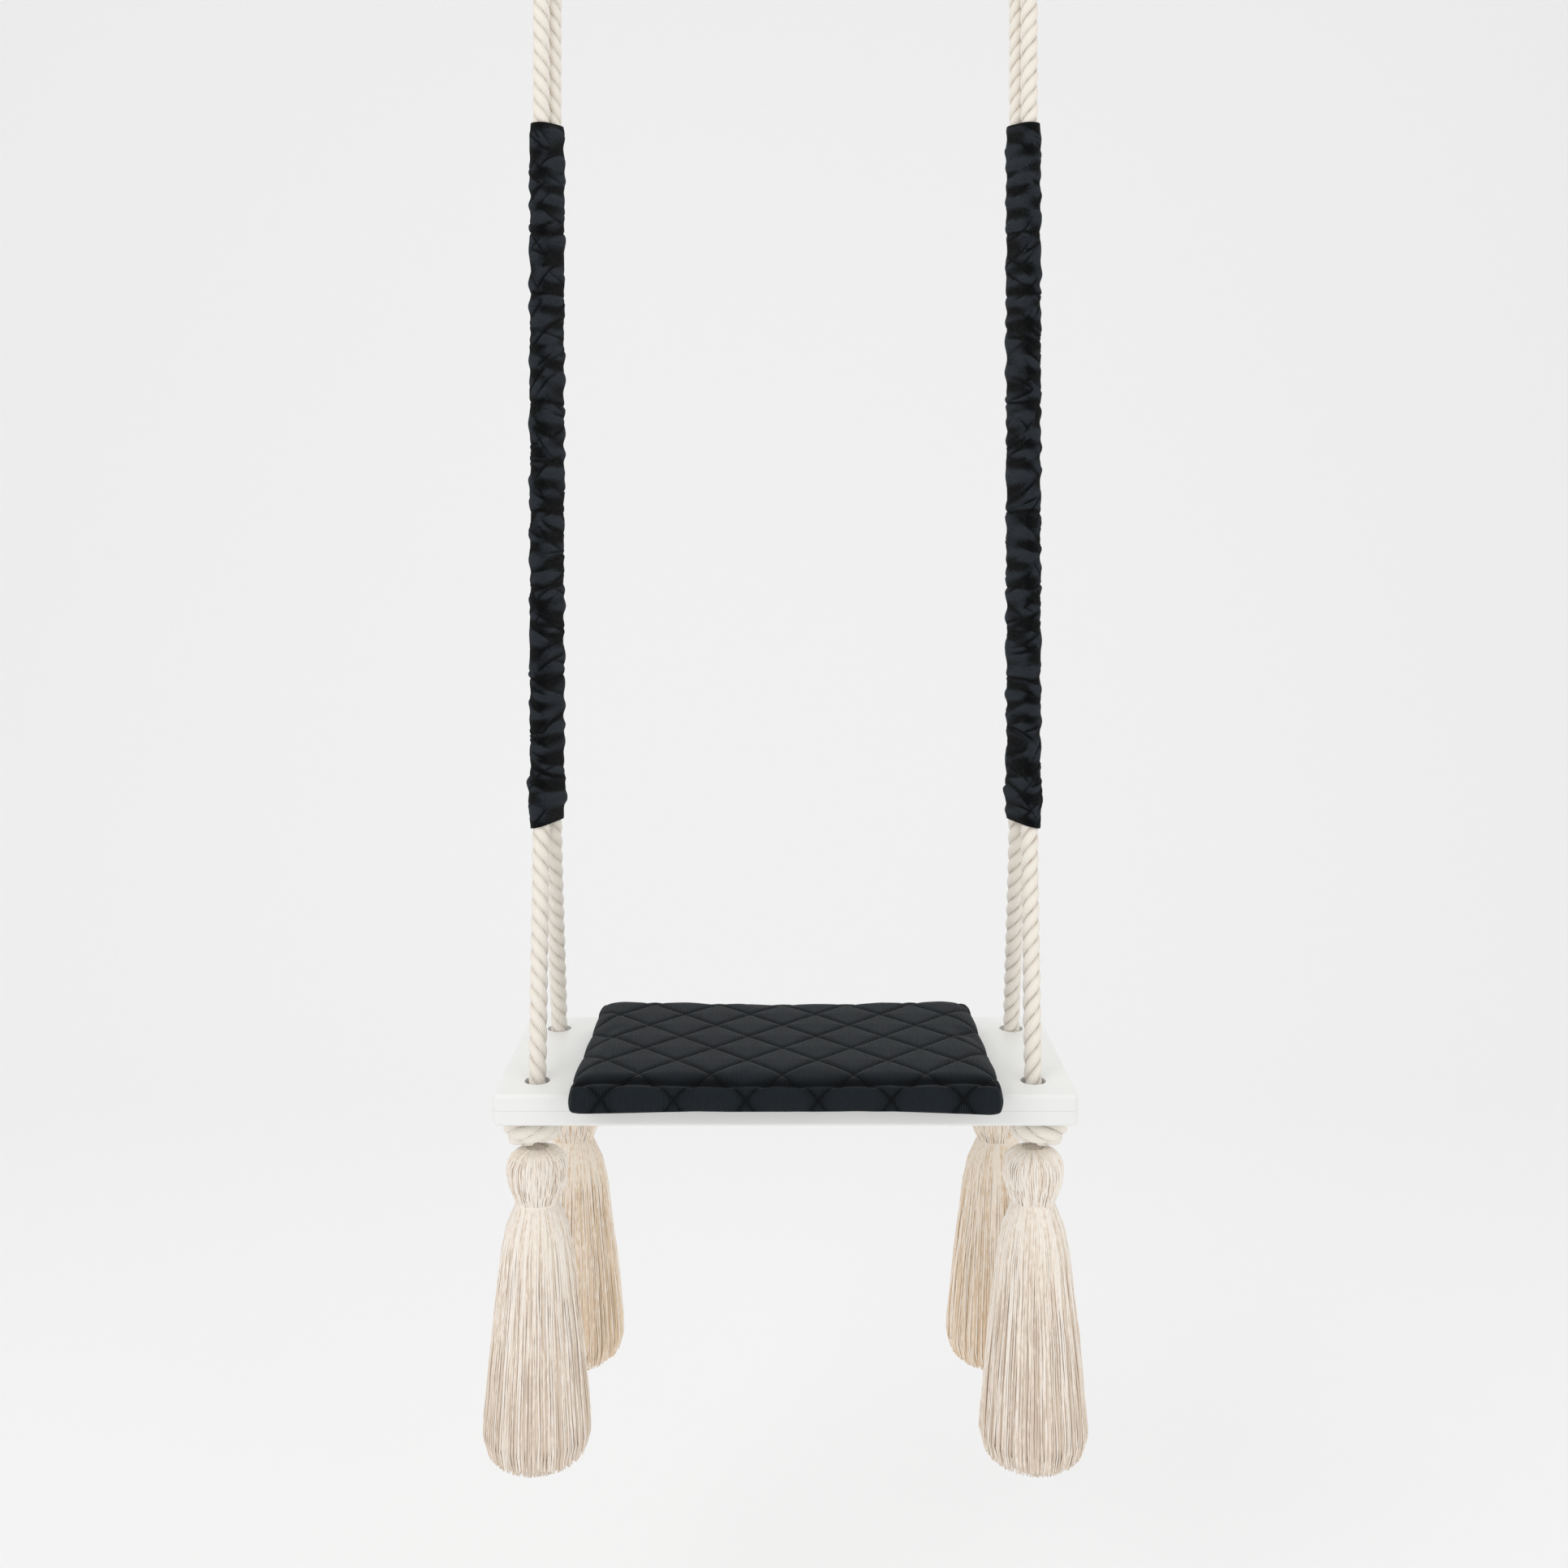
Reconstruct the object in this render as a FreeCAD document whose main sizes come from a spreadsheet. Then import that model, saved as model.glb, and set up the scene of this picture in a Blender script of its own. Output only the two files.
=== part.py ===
"""Hanging board swing: a painted board with a loose quilted cushion, hung at each end by one
doubled rope in a gathered cloth sleeve.

Frame: millimetres, +Z up, +X to the rider's left-hand line (right when seen from the front),
-Y to the front. The origin lies in the ceiling plane, midway between the two hanging points.
"""
import FreeCAD, Part
import math
import os
import re

from FreeCAD import Placement, Rotation, Vector
from Sketcher import Constraint

doc = FreeCAD.newDocument("BoardSwing")
sheet = doc.addObject("Spreadsheet::Sheet", "Sizes")

# ---------------------------------------------------------------- driving dimensions (mm)
DIMENSIONS = (
    # ceiling plates with their welded eyes
    ("line_spread", 392.0, "distance between the two hanging lines"),
    ("plate_width", 36.0, "ceiling plate across the eye"),
    ("plate_length", 84.0, "ceiling plate along its two screws"),
    ("plate_thickness", 5.0, "ceiling plate"),
    ("plate_corner", 8.0, "corner radius of the plate"),
    ("plate_hole", 6.4, "screw hole"),
    ("plate_hole_spacing", 62.0, "distance between the two screws of a plate"),
    ("eye_stock", 8.0, "round bar of the eye"),
    ("eye_opening", 20.0, "inner width of the eye"),
    ("eye_drop", 24.0, "ceiling to the centre of the eye's bow"),
    ("metal_gap", 0.3, "play between hanging metal parts"),
    # snap hooks
    ("hook_stock", 8.0, "round bar of the snap hook"),
    ("hook_opening", 22.0, "inner width of the snap hook"),
    ("hook_pitch", 72.0, "distance between the centre lines of its two bows"),
    ("nose_length", 5.0, "straight end that the gate shuts against"),
    ("knuckle_length", 7.0, "straight end that carries the gate"),
    ("pin_depth", 3.5, "gate pin below the top of the knuckle"),
    ("pin_diameter", 2.4, "gate pin"),
    ("pin_length", 7.2, "gate pin"),
    ("pin_play", 0.2, "bore of the tongue over the pin"),
    ("gate_diameter", 7.2, "round gate"),
    ("gate_lift", 5.3, "bottom of the round gate above its pin"),
    ("gate_gap", 0.4, "gate to nose"),
    ("tongue_thickness", 2.8, "flat tongue of the gate"),
    ("tongue_width", 5.6, "flat tongue of the gate"),
    ("tongue_reach", 2.6, "tongue below the pin"),
    ("slot_play", 0.8, "slot in the knuckle over the tongue"),
    ("slot_reach", 4.4, "slot below the pin"),
    # thimbles
    ("thimble_opening", 30.0, "inner diameter of the thimble"),
    ("thimble_wall", 1.2, "sheet of the thimble"),
    ("thimble_play", 0.8, "groove radius over the rope radius"),
    ("thimble_rim", 22.5, "radius of the thimble's rim"),
    # ropes and lashings
    ("rope_diameter", 14.0, "three-strand cotton rope"),
    ("rope_taper", 2.5, "chamfer of a cut and bound rope end"),
    ("leg_offset_x", 4.0, "each leg from the hanging line, sideways"),
    ("leg_offset_y", 5.9, "each leg from the hanging line, front to back"),
    ("seizing_wall", 1.9, "thickness of a cord lashing"),
    ("seizing_play", 0.05, "lashing to rope"),
    ("upper_seizing_top", 208.0, "ceiling to the upper lashing"),
    ("seizing_length", 18.0, "height of each lashing"),
    ("lower_seizing_rise", 207.0, "board top to the foot of the lower lashing"),
    # sleeves
    ("sleeve_rise", 187.0, "board top to the sleeve's lower hem"),
    ("sleeve_length", 580.0, "gathered length of the sleeve"),
    ("sleeve_wall", 1.2, "gathered cloth"),
    ("sleeve_play", 0.5, "sleeve to lashing"),
    # seat board
    ("board_drop", 1100.0, "ceiling to the top of the board"),
    ("board_length", 450.0, "board, side to side"),
    ("board_depth", 200.0, "board, front to back"),
    ("board_thickness", 24.0, "board"),
    ("board_corner", 6.0, "corner radius seen from above"),
    ("board_round", 3.0, "rounding of the long edges"),
    ("hole_spread", 389.0, "distance between the left and right holes"),
    ("hole_spacing", 132.0, "distance between the front and rear holes"),
    ("hole_diameter", 20.0, "rope hole"),
    # cushion
    ("cushion_length", 322.0, "cushion, side to side"),
    ("cushion_depth", 200.0, "cushion, front to back"),
    ("cushion_thickness", 22.0, "cushion"),
    ("cushion_forward", 34.0, "cushion pushed forward of the board's middle"),
    ("cushion_corner", 14.0, "corner radius seen from above"),
    ("cover_wall", 1.4, "quilted cover"),
    ("cover_play", 0.3, "cover to foam, and cover to board"),
    # knots and tassels
    ("knot_diameter", 48.0, "stopper knot"),
    ("knot_height", 27.0, "stopper knot"),
    ("tassel_gap", 0.8, "knot to the rope's tail"),
    ("tail_length", 49.0, "rope's tail inside the tassel"),
    ("tail_bare", 3.0, "tail that stands out above the tassel head"),
    ("tail_play", 0.1, "yarn to tail, and binding to yarn"),
    ("head_diameter", 47.0, "tassel head"),
    ("head_height", 47.0, "tassel head with its neck"),
    ("binding_diameter", 30.0, "cord bound round the neck"),
    ("binding_height", 8.0, "cord bound round the neck"),
    ("binding_wall", 1.6, "cord bound round the neck"),
    ("binding_round", 1.0, "rounding of the bound cord's edges"),
    ("skirt_length", 208.0, "tassel skirt"),
    ("skirt_diameter", 85.0, "tassel skirt at its widest"),
    ("skirt_belly", 40.0, "widest place above the skirt's lower end"),
    ("skirt_foot", 52.0, "flat lower end of the skirt"),
    ("rear_inset", 12.0, "rear tassels, inward of their holes"),
)
for row, (alias, amount, note) in enumerate(DIMENSIONS, start=1):
    sheet.set(f"A{row}", alias)
    sheet.set(f"B{row}", str(amount))
    sheet.set(f"C{row}", note)
    sheet.setAlias(f"B{row}", alias)
doc.recompute()
ALIASES = {alias for alias, _, _ in DIMENSIONS}

PARTS = []          # every finished sub-part, in the order it was made
SIDES = (("left", -1), ("right", 1))
ENDS = (("front", -1), ("rear", 1))
ALONG_X = Rotation(Vector(0, 1, 0), 90)
ALONG_Y = Rotation(Vector(1, 0, 0), 90)


# ---------------------------------------------------------------- helpers
def bound(formula):
    """The formula as an expression: each word that is a size becomes its cell."""
    return re.sub(r"[a-z_]+", lambda word: "Sizes." + word[0] if word[0] in ALIASES else word[0], formula)


def size(alias):
    """A size's present value, for shapes that are worked out in code."""
    return float(sheet.get(alias))


def worked_out(formula):
    """The formula's present value in millimetres."""
    amount = sheet.evalExpression(bound(formula))
    return float(getattr(amount, "Value", amount))


def place(item, x="0", y="0", z="0", turn=Rotation()):
    item.Placement = Placement(Vector(), turn)
    for axis, formula in zip("xyz", (x, y, z)):
        item.setExpression(f"Placement.Base.{axis}", bound(formula))
    return item


def finish(item, label):
    """Gives a sub-part its name and keeps it for export."""
    item.Label = label
    PARTS.append(item)
    return item


def solid(kind, name, sizes, x="0", y="0", z="0", turn=Rotation()):
    """A Part primitive whose sizes are bound to the sheet."""
    item = doc.addObject(kind, name)
    for prop, formula in sizes.items():
        item.setExpression(prop, bound(formula))
    return place(item, x, y, z, turn)


def cylinder(name, radius, height, x="0", y="0", z="0", turn=Rotation()):
    return solid("Part::Cylinder", name, {"Radius": radius, "Height": height}, x, y, z, turn)


def box(name, length, width, height, x="0", y="0", z="0"):
    """A box centred on x and y, standing on z."""
    sizes = {"Length": length, "Width": width, "Height": height}
    return solid("Part::Box", name, sizes, f"{x} - ({length}) / 2", f"{y} - ({width}) / 2", z)


def torus(name, ring, bar, sweep="360", x="0", y="0", z="0", turn=Rotation()):
    sizes = {"Radius1": ring, "Radius2": bar, "Angle3": sweep}
    return solid("Part::Torus", name, sizes, x, y, z, turn)


def fuse(name, shapes):
    item = doc.addObject("Part::MultiFuse", name)
    item.Shapes = shapes
    item.Refine = True
    return item


def cut(name, base, tool):
    item = doc.addObject("Part::Cut", name)
    item.Base = base
    item.Tool = tool
    return item


def common(name, shapes):
    item = doc.addObject("Part::MultiCommon", name)
    item.Shapes = shapes
    return item


def add_sketch(body, name, role):
    sketch = body.newObject("Sketcher::SketchObject", name)
    plane = next(item for item in body.Origin.OriginFeatures if item.Role == role)
    sketch.AttachmentSupport = [(plane, "")]
    sketch.MapMode = "FlatFace"
    return sketch


def bind(sketch, kind, *args):
    """A dimension of a sketch: the last argument is its formula."""
    *places, formula = args
    index = sketch.addConstraint(Constraint(kind, *places, 1.0))
    sketch.setExpression(f"Constraints[{index}]", bound(formula))


def centred_rectangle(sketch, length, width):
    """Draws a rectangle about the sketch's origin."""
    start = sketch.GeometryCount
    corners = [Vector(x, y, 0) for x, y in ((-9, -9), (9, -9), (9, 9), (-9, 9))]
    for index, corner in enumerate(corners):
        sketch.addGeometry(Part.LineSegment(corner, corners[(index + 1) % 4]), False)
    for index in range(4):
        line = start + index
        sketch.addConstraint(Constraint("Coincident", line, 2, start + (index + 1) % 4, 1))
        sketch.addConstraint(Constraint("Vertical" if index % 2 else "Horizontal", line))
    sketch.addConstraint(Constraint("Symmetric", start, 1, start + 1, 2, -1, 1))
    bind(sketch, "DistanceX", start, 1, start, 2, length)
    bind(sketch, "DistanceY", start + 1, 1, start + 1, 2, width)


def drill(body, name, centres, diameter, depth):
    """Cuts round holes down from the body's top plane and checks that they were cut."""
    before = body.Tip.Shape.Volume
    sketch = add_sketch(body, name + "Sketch", "XY_Plane")
    for index, (x, y) in enumerate(centres):
        sketch.addGeometry(Part.Circle(Vector(9 + index, 9, 0), Vector(0, 0, 1), 1), False)
        for kind, formula in (("DistanceX", x), ("DistanceY", y)):
            if formula == "0":
                axis = -2 if kind == "DistanceX" else -1
                sketch.addConstraint(Constraint("PointOnObject", index, 3, axis))
            else:
                bind(sketch, kind, -1, 1, index, 3, formula)
        bind(sketch, "Diameter", index, diameter)
    pocket = body.newObject("PartDesign::Pocket", name)
    pocket.Profile = sketch
    pocket.Type = 1          # through all
    pocket.Midplane = True
    doc.recompute()
    expected = len(centres) * math.pi * size(diameter) ** 2 / 4 * size(depth)
    removed = before - pocket.Shape.Volume
    assert abs(removed - expected) < 0.02 * expected, f"{name} removed {removed:.0f}, not {expected:.0f}"
    return pocket


def fillet(body, name, feature, radius, chosen):
    """Rounds the edges of a feature that the test picks."""
    edges = [f"Edge{i}" for i, edge in enumerate(feature.Shape.Edges, start=1) if chosen(edge)]
    item = body.newObject("PartDesign::Fillet", name)
    item.Base = (feature, edges)
    item.setExpression("Radius", bound(radius))
    doc.recompute()
    return item


def is_upright(edge):
    if edge.Curve.TypeId != "Part::GeomLine":
        return False
    return abs(edge.tangentAt(edge.FirstParameter).z) > 0.99


def is_on_rim(edge, half_length, half_width, band):
    """True for level edges within a band of the outline, which leaves out the holes."""
    box_of = edge.BoundBox
    far_x = max(abs(box_of.XMin), abs(box_of.XMax)) > half_length - band
    far_y = max(abs(box_of.YMin), abs(box_of.YMax)) > half_width - band
    return box_of.ZLength < 0.01 and (far_x or far_y)


def turned(label, outline, x, y, z):
    """A body of revolution about Z. The outline lists (radius, height) formulas, anticlockwise."""
    body = doc.addObject("PartDesign::Body", "Turned_" + label)
    sketch = add_sketch(body, "Outline_" + label, "XZ_Plane")
    count = len(outline)
    guess = [Vector(worked_out(radius), worked_out(height), 0) for radius, height in outline]
    for index in range(count):
        sketch.addGeometry(Part.LineSegment(guess[index], guess[(index + 1) % count]), False)
    for index in range(count):
        sketch.addConstraint(Constraint("Coincident", index, 2, (index + 1) % count, 1))
    for index, (radius, height) in enumerate(outline):
        for kind, formula, axis in (("DistanceX", radius, -2), ("DistanceY", height, -1)):
            if formula == "0":
                sketch.addConstraint(Constraint("PointOnObject", index, 1, axis))
            else:
                bind(sketch, kind, -1, 1, index, 1, formula)
    turn = body.newObject("PartDesign::Revolution", "Turn_" + label)
    turn.Profile = sketch
    turn.ReferenceAxis = (sketch, ["V_Axis"])
    turn.Angle = 360
    place(body, x, y, z)
    return finish(body, label)


def slot_prism(name, radius, height, side, centre_z):
    """An upright prism round both legs of a rope: two cylinders joined by a slab."""
    facing = side * math.degrees(math.atan2(size("leg_offset_y"), size("leg_offset_x")))
    line_x = f"{side} * line_spread / 2"
    ends = []
    for end, y_sign in ENDS:
        x = f"{line_x} - {side} * {y_sign} * leg_offset_x"
        ends.append(cylinder(f"{name}_{end}", radius, height, x, f"{y_sign} * leg_offset_y", centre_z))
    apart = "2 * sqrt(leg_offset_x * leg_offset_x + leg_offset_y * leg_offset_y)"
    slab = doc.addObject("Part::Box", name + "_slab")
    slab.setExpression("Length", bound(apart))
    slab.setExpression("Width", bound(f"2 * ({radius})"))
    slab.setExpression("Height", bound(height))
    place(slab, line_x, "0", centre_z, Rotation(Vector(0, 0, 1), -facing))
    # the slab starts at its own corner, so its corner is put half its size back from the line
    back = f"-({apart}) / 2"
    aside = f"-({radius})"
    turn = math.radians(-facing)
    shift_x = f"({back}) * {math.cos(turn):.12f} - ({aside}) * {math.sin(turn):.12f}"
    shift_y = f"({back}) * {math.sin(turn):.12f} + ({aside}) * {math.cos(turn):.12f}"
    slab.setExpression("Placement.Base.x", bound(f"{line_x} + {shift_x}"))
    slab.setExpression("Placement.Base.y", bound(shift_y))
    return fuse(name, ends + [slab])


def slot_tube(label, bore, wall, height, side, foot_z):
    """A tube that holds both legs of a rope side by side."""
    outer = slot_prism(f"{label}_outer", f"{bore} + {wall}", height, side, foot_z)
    inner = slot_prism(f"{label}_inner", bore, height, side, foot_z)
    return finish(cut(f"{label}_tube", outer, inner), label)


# ---------------------------------------------------------------- ceiling plates and eyes
def ceiling_plate(side, x_sign):
    """A steel plate with two screw holes, its upper face on the ceiling."""
    body = doc.addObject("PartDesign::Body", f"Plate_{side}")
    sketch = add_sketch(body, f"PlateSketch_{side}", "XY_Plane")
    centred_rectangle(sketch, "plate_width", "plate_length")
    pad = body.newObject("PartDesign::Pad", f"PlatePad_{side}")
    pad.Profile = sketch
    pad.Reversed = True
    pad.setExpression("Length", bound("plate_thickness"))
    doc.recompute()
    fillet(body, f"PlateCorners_{side}", pad, "plate_corner", is_upright)
    centres = [("0", "-plate_hole_spacing / 2"), ("0", "plate_hole_spacing / 2")]
    drill(body, f"ScrewHoles_{side}", centres, "plate_hole", "plate_thickness")
    place(body, f"{x_sign} * line_spread / 2")
    return finish(body, f"ceiling_plate_{side}")


def ceiling_eye(side, x_sign):
    """A U of round bar under the plate; its opening faces left and right."""
    x = f"{x_sign} * line_spread / 2"
    ring = "(eye_opening + eye_stock) / 2"
    lower_half = Rotation(Vector(0, 1, 0), 90).multiply(Rotation(Vector(0, 0, 1), -90))
    bow = torus(f"EyeBow_{side}", ring, "eye_stock / 2", "180", x, "0", "-eye_drop", lower_half)
    legs = []
    for end, y_sign in ENDS:
        leg = cylinder(f"EyeLeg_{side}_{end}", "eye_stock / 2", "eye_drop - plate_thickness",
                       x, f"{y_sign} * {ring}", "-eye_drop")
        legs.append(leg)
    return finish(fuse(f"Eye_{side}", [bow, *legs]), f"ceiling_eye_{side}")


# ---------------------------------------------------------------- snap hooks
HOOK_TOP = "(-eye_drop - eye_opening / 2 + hook_stock / 2 + metal_gap)"
HOOK_FOOT = f"({HOOK_TOP} - hook_pitch)"
HOOK_BOW = "(hook_opening + hook_stock) / 2"
UPPER_CENTRE = f"({HOOK_TOP} - {HOOK_BOW})"
LOWER_CENTRE = f"({HOOK_FOOT} + {HOOK_BOW})"
PIN_LEVEL = f"({LOWER_CENTRE} + knuckle_length - pin_depth)"
THROUGH_BAR = "2 * hook_stock"       # a cutting tool this long passes right through the bar


def snap_hook(side, x_sign):
    """The hook's bar: two bows, a spine on the inner side, and the nose and knuckle outside."""
    x = f"{x_sign} * line_spread / 2"
    gate_x = f"{x} + {x_sign} * {HOOK_BOW}"
    spine_x = f"{x} - {x_sign} * {HOOK_BOW}"
    radius = "hook_stock / 2"
    upper = torus(f"HookTop_{side}", HOOK_BOW, radius, "180", x, "0", UPPER_CENTRE, ALONG_Y)
    lower = torus(f"HookFoot_{side}", HOOK_BOW, radius, "180", x, "0", LOWER_CENTRE,
                  Rotation(Vector(1, 0, 0), -90))
    spine = cylinder(f"Spine_{side}", radius, f"{UPPER_CENTRE} - {LOWER_CENTRE}", spine_x, "0", LOWER_CENTRE)
    nose = cylinder(f"Nose_{side}", radius, "nose_length", gate_x, "0", f"{UPPER_CENTRE} - nose_length")
    knuckle = cylinder(f"Knuckle_{side}", radius, "knuckle_length", gate_x, "0", LOWER_CENTRE)
    bar = fuse(f"HookBar_{side}", [upper, lower, spine, nose, knuckle])
    slot = box(f"Slot_{side}", THROUGH_BAR, "tongue_thickness + slot_play", "hook_stock",
               gate_x, "0", f"{PIN_LEVEL} - slot_reach")
    bore = cylinder(f"PinBore_{side}", "pin_diameter / 2", THROUGH_BAR,
                    gate_x, "hook_stock", PIN_LEVEL, ALONG_Y)
    slotted = cut(f"SlottedHook_{side}", bar, slot)
    return finish(cut(f"Hook_{side}", slotted, bore), f"snap_hook_{side}")


def hook_gate(side, x_sign):
    """The sprung gate: a round bar with a flat tongue that turns on its pin."""
    x = f"{x_sign} * line_spread / 2 + {x_sign} * {HOOK_BOW}"
    foot = f"{PIN_LEVEL} + gate_lift"
    height = f"{UPPER_CENTRE} - nose_length - gate_gap - ({foot})"
    bar = cylinder(f"GateBar_{side}", "gate_diameter / 2", height, x, "0", foot)
    tongue = box(f"Tongue_{side}", "tongue_width", "tongue_thickness", "tongue_reach + gate_lift + 1",
                 x, "0", f"{PIN_LEVEL} - tongue_reach")
    bore = cylinder(f"TongueBore_{side}", "(pin_diameter + pin_play) / 2", THROUGH_BAR,
                    x, "hook_stock", PIN_LEVEL, ALONG_Y)
    gate = fuse(f"GateSolid_{side}", [bar, tongue])
    return finish(cut(f"Gate_{side}", gate, bore), f"hook_gate_{side}")


def gate_pin(side, x_sign):
    x = f"{x_sign} * line_spread / 2 + {x_sign} * {HOOK_BOW}"
    pin = cylinder(f"Pin_{side}", "pin_diameter / 2", "pin_length", x, "pin_length / 2", PIN_LEVEL, ALONG_Y)
    return finish(pin, f"gate_pin_{side}")


# ---------------------------------------------------------------- thimbles and ropes
LOOP_CENTRE = f"({HOOK_FOOT} + hook_stock / 2 + metal_gap - thimble_opening / 2)"
LOOP_RADIUS = "(thimble_opening / 2 + thimble_wall + thimble_play + rope_diameter / 2)"


def thimble(side, x_sign):
    """A round grooved ring that keeps the rope from chafing on the hook."""
    x = f"{x_sign} * line_spread / 2"
    bar = "rope_diameter / 2 + thimble_play"
    outer = torus(f"ThimbleOuter_{side}", LOOP_RADIUS, f"{bar} + thimble_wall", "360", x, "0", LOOP_CENTRE, ALONG_X)
    groove = torus(f"Groove_{side}", LOOP_RADIUS, bar, "360", x, "0", LOOP_CENTRE, ALONG_X)
    rim = cylinder(f"Rim_{side}", "thimble_rim", "2 * thimble_rim", f"{x} - thimble_rim", "0", LOOP_CENTRE, ALONG_X)
    channel = cut(f"Channel_{side}", outer, groove)
    return finish(common(f"Thimble_{side}", [channel, rim]), f"thimble_{side}")


# The rope's route, chosen by hand: (distance out from the middle, front to back, height). It goes
# up from the front hole, leans in to the lower lashing, runs straight up, round the thimble and
# back down to the rear hole. The four middle corners stand round the thimble's circle.
ROPE_ROUTE = (
    (194.5, -66.0, -1123.2),
    (194.5, -66.0, -1099.0),
    (200.0, -5.9, -915.0),
    (200.0, -5.9, -192.0),
    (196.0, -26.0, -106.6),
    (196.0, -11.6, -88.4),
    (196.0, 11.6, -88.4),
    (196.0, 26.0, -106.6),
    (192.0, 5.9, -192.0),
    (192.0, 5.9, -915.0),
    (194.5, 66.0, -1099.0),
    (194.5, 66.0, -1123.2),
)
THIMBLE_CORNERS = (4, 5, 6, 7)    # corners whose arc is the thimble's own size
LASHED_CORNERS = (2, 3, 8, 9)     # corners that a tight lashing bends
LASHED_BEND = 10                  # the bend at a lashing, in rope diameters
RUN_SHARE = 0.45                  # share of the shorter run that a free bend may use


def rope_path(points):
    """Straight runs joined by tangent arcs, and the radius of each arc."""
    radii = {}
    reaches = {}
    starts = {}
    stops = {}
    for index in range(1, len(points) - 1):
        before = points[index - 1] - points[index]
        after = points[index + 1] - points[index]
        turn = math.pi - before.getAngle(after)
        if index in THIMBLE_CORNERS:
            radius = worked_out(LOOP_RADIUS)
        elif index in LASHED_CORNERS:
            radius = LASHED_BEND * size("rope_diameter")
        else:
            radius = RUN_SHARE * min(before.Length, after.Length) / math.tan(turn / 2)
        reach = radius * math.tan(turn / 2)
        radii[index] = radius
        reaches[index] = reach
        starts[index] = points[index] + before * (reach / before.Length)
        stops[index] = points[index] + after * (reach / after.Length)
    edges = []
    here = points[0]
    for index in range(1, len(points) - 1):
        if (starts[index] - here).Length > 0.05:
            edges.append(Part.LineSegment(here, starts[index]).toShape())
        else:
            starts[index] = here
        inward = (starts[index] + stops[index]) / 2 - points[index]
        nearest = math.hypot(radii[index], reaches[index]) - radii[index]
        middle = points[index] + inward * (nearest / inward.Length)
        edges.append(Part.Arc(starts[index], middle, stops[index]).toShape())
        here = stops[index]
    edges.append(Part.LineSegment(here, points[-1]).toShape())
    return Part.Wire(edges), radii


def rope(side, x_sign):
    """One doubled rope, both of whose legs go down to the board."""
    points = [Vector(x_sign * out, y, z) for out, y, z in ROPE_ROUTE]
    path, radii = rope_path(points)
    circle = Part.Circle(points[0], points[1] - points[0], size("rope_diameter") / 2)
    section = Part.Wire(circle.toShape())
    item = doc.addObject("Part::Feature", f"Rope_{side}")
    tube = path.makePipeShell([section], True, False)
    expected = math.pi * size("rope_diameter") ** 2 / 4 * path.Length
    print(f"rope_{side}: length {path.Length:.1f} mm, arcs", [round(value) for value in radii.values()])
    print(f"rope_{side}: volume {tube.Volume:.0f}, section times length {expected:.0f}")
    assert abs(tube.Volume - expected) < 0.01 * expected
    ends = [edge for edge in tube.Edges if abs(edge.CenterOfMass.z - points[0].z) < 0.01]
    assert len(ends) == 2
    item.Shape = tube.makeChamfer(size("rope_taper"), ends)
    item.Placement = Placement()
    return finish(item, f"rope_{side}")


def lashings(side, x_sign):
    """A tight cord lashing under the thimble and another above the board, inside the sleeve."""
    bore = "rope_diameter / 2 + seizing_play"
    slot_tube(f"upper_lashing_{side}", bore, "seizing_wall", "seizing_length", x_sign,
              "-upper_seizing_top - seizing_length")
    slot_tube(f"lower_lashing_{side}", bore, "seizing_wall", "seizing_length", x_sign,
              "-board_drop + lower_seizing_rise")


def sleeve(side, x_sign):
    """The gathered cloth sleeve round both legs, a hand-hold that slides on the rope."""
    bore = "rope_diameter / 2 + seizing_play + seizing_wall + sleeve_play"
    slot_tube(f"sleeve_{side}", bore, "sleeve_wall", "sleeve_length", x_sign, "-board_drop + sleeve_rise")


# ---------------------------------------------------------------- board and cushion
def seat_board():
    """The board: rounded corners and edges, and four rope holes."""
    body = doc.addObject("PartDesign::Body", "Board")
    sketch = add_sketch(body, "BoardSketch", "XY_Plane")
    centred_rectangle(sketch, "board_length", "board_depth")
    pad = body.newObject("PartDesign::Pad", "BoardPad")
    pad.Profile = sketch
    pad.Reversed = True
    pad.setExpression("Length", bound("board_thickness"))
    doc.recompute()
    corners = fillet(body, "BoardCorners", pad, "board_corner", is_upright)
    rim = (size("board_length") / 2, size("board_depth") / 2, size("board_corner") + 1)
    fillet(body, "BoardEdges", corners, "board_round", lambda edge: is_on_rim(edge, *rim))
    centres = [(f"{x_sign} * hole_spread / 2", f"{y_sign} * hole_spacing / 2")
               for _, x_sign in SIDES for _, y_sign in ENDS]
    drill(body, "RopeHoles", centres, "hole_diameter", "board_thickness")
    place(body, z="-board_drop")
    return finish(body, "seat_board")


def rounded_block(label, trim, z):
    """A cushion-shaped block with upright rounded corners; trim is taken off every side."""
    body = doc.addObject("PartDesign::Body", label)
    sketch = add_sketch(body, label + "Sketch", "XY_Plane")
    centred_rectangle(sketch, f"cushion_length - 2 * ({trim})", f"cushion_depth - 2 * ({trim})")
    pad = body.newObject("PartDesign::Pad", label + "Pad")
    pad.Profile = sketch
    pad.setExpression("Length", bound(f"cushion_thickness - 2 * ({trim})"))
    doc.recompute()
    fillet(body, label + "Corners", pad, f"cushion_corner - ({trim})", is_upright)
    return place(body, "0", "-cushion_forward", z)


def cushion():
    """A foam slab inside a closed quilted cover, lying loose on the board."""
    floor = "-board_drop + cover_play"
    outer = rounded_block("CoverOutside", "0", floor)
    inner = rounded_block("CoverInside", "cover_wall", f"{floor} + cover_wall")
    finish(cut("Cover", outer, inner), "cushion_cover")
    foam = rounded_block("Foam", "cover_wall + cover_play", f"{floor} + cover_wall + cover_play")
    finish(foam, "cushion_foam")


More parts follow.
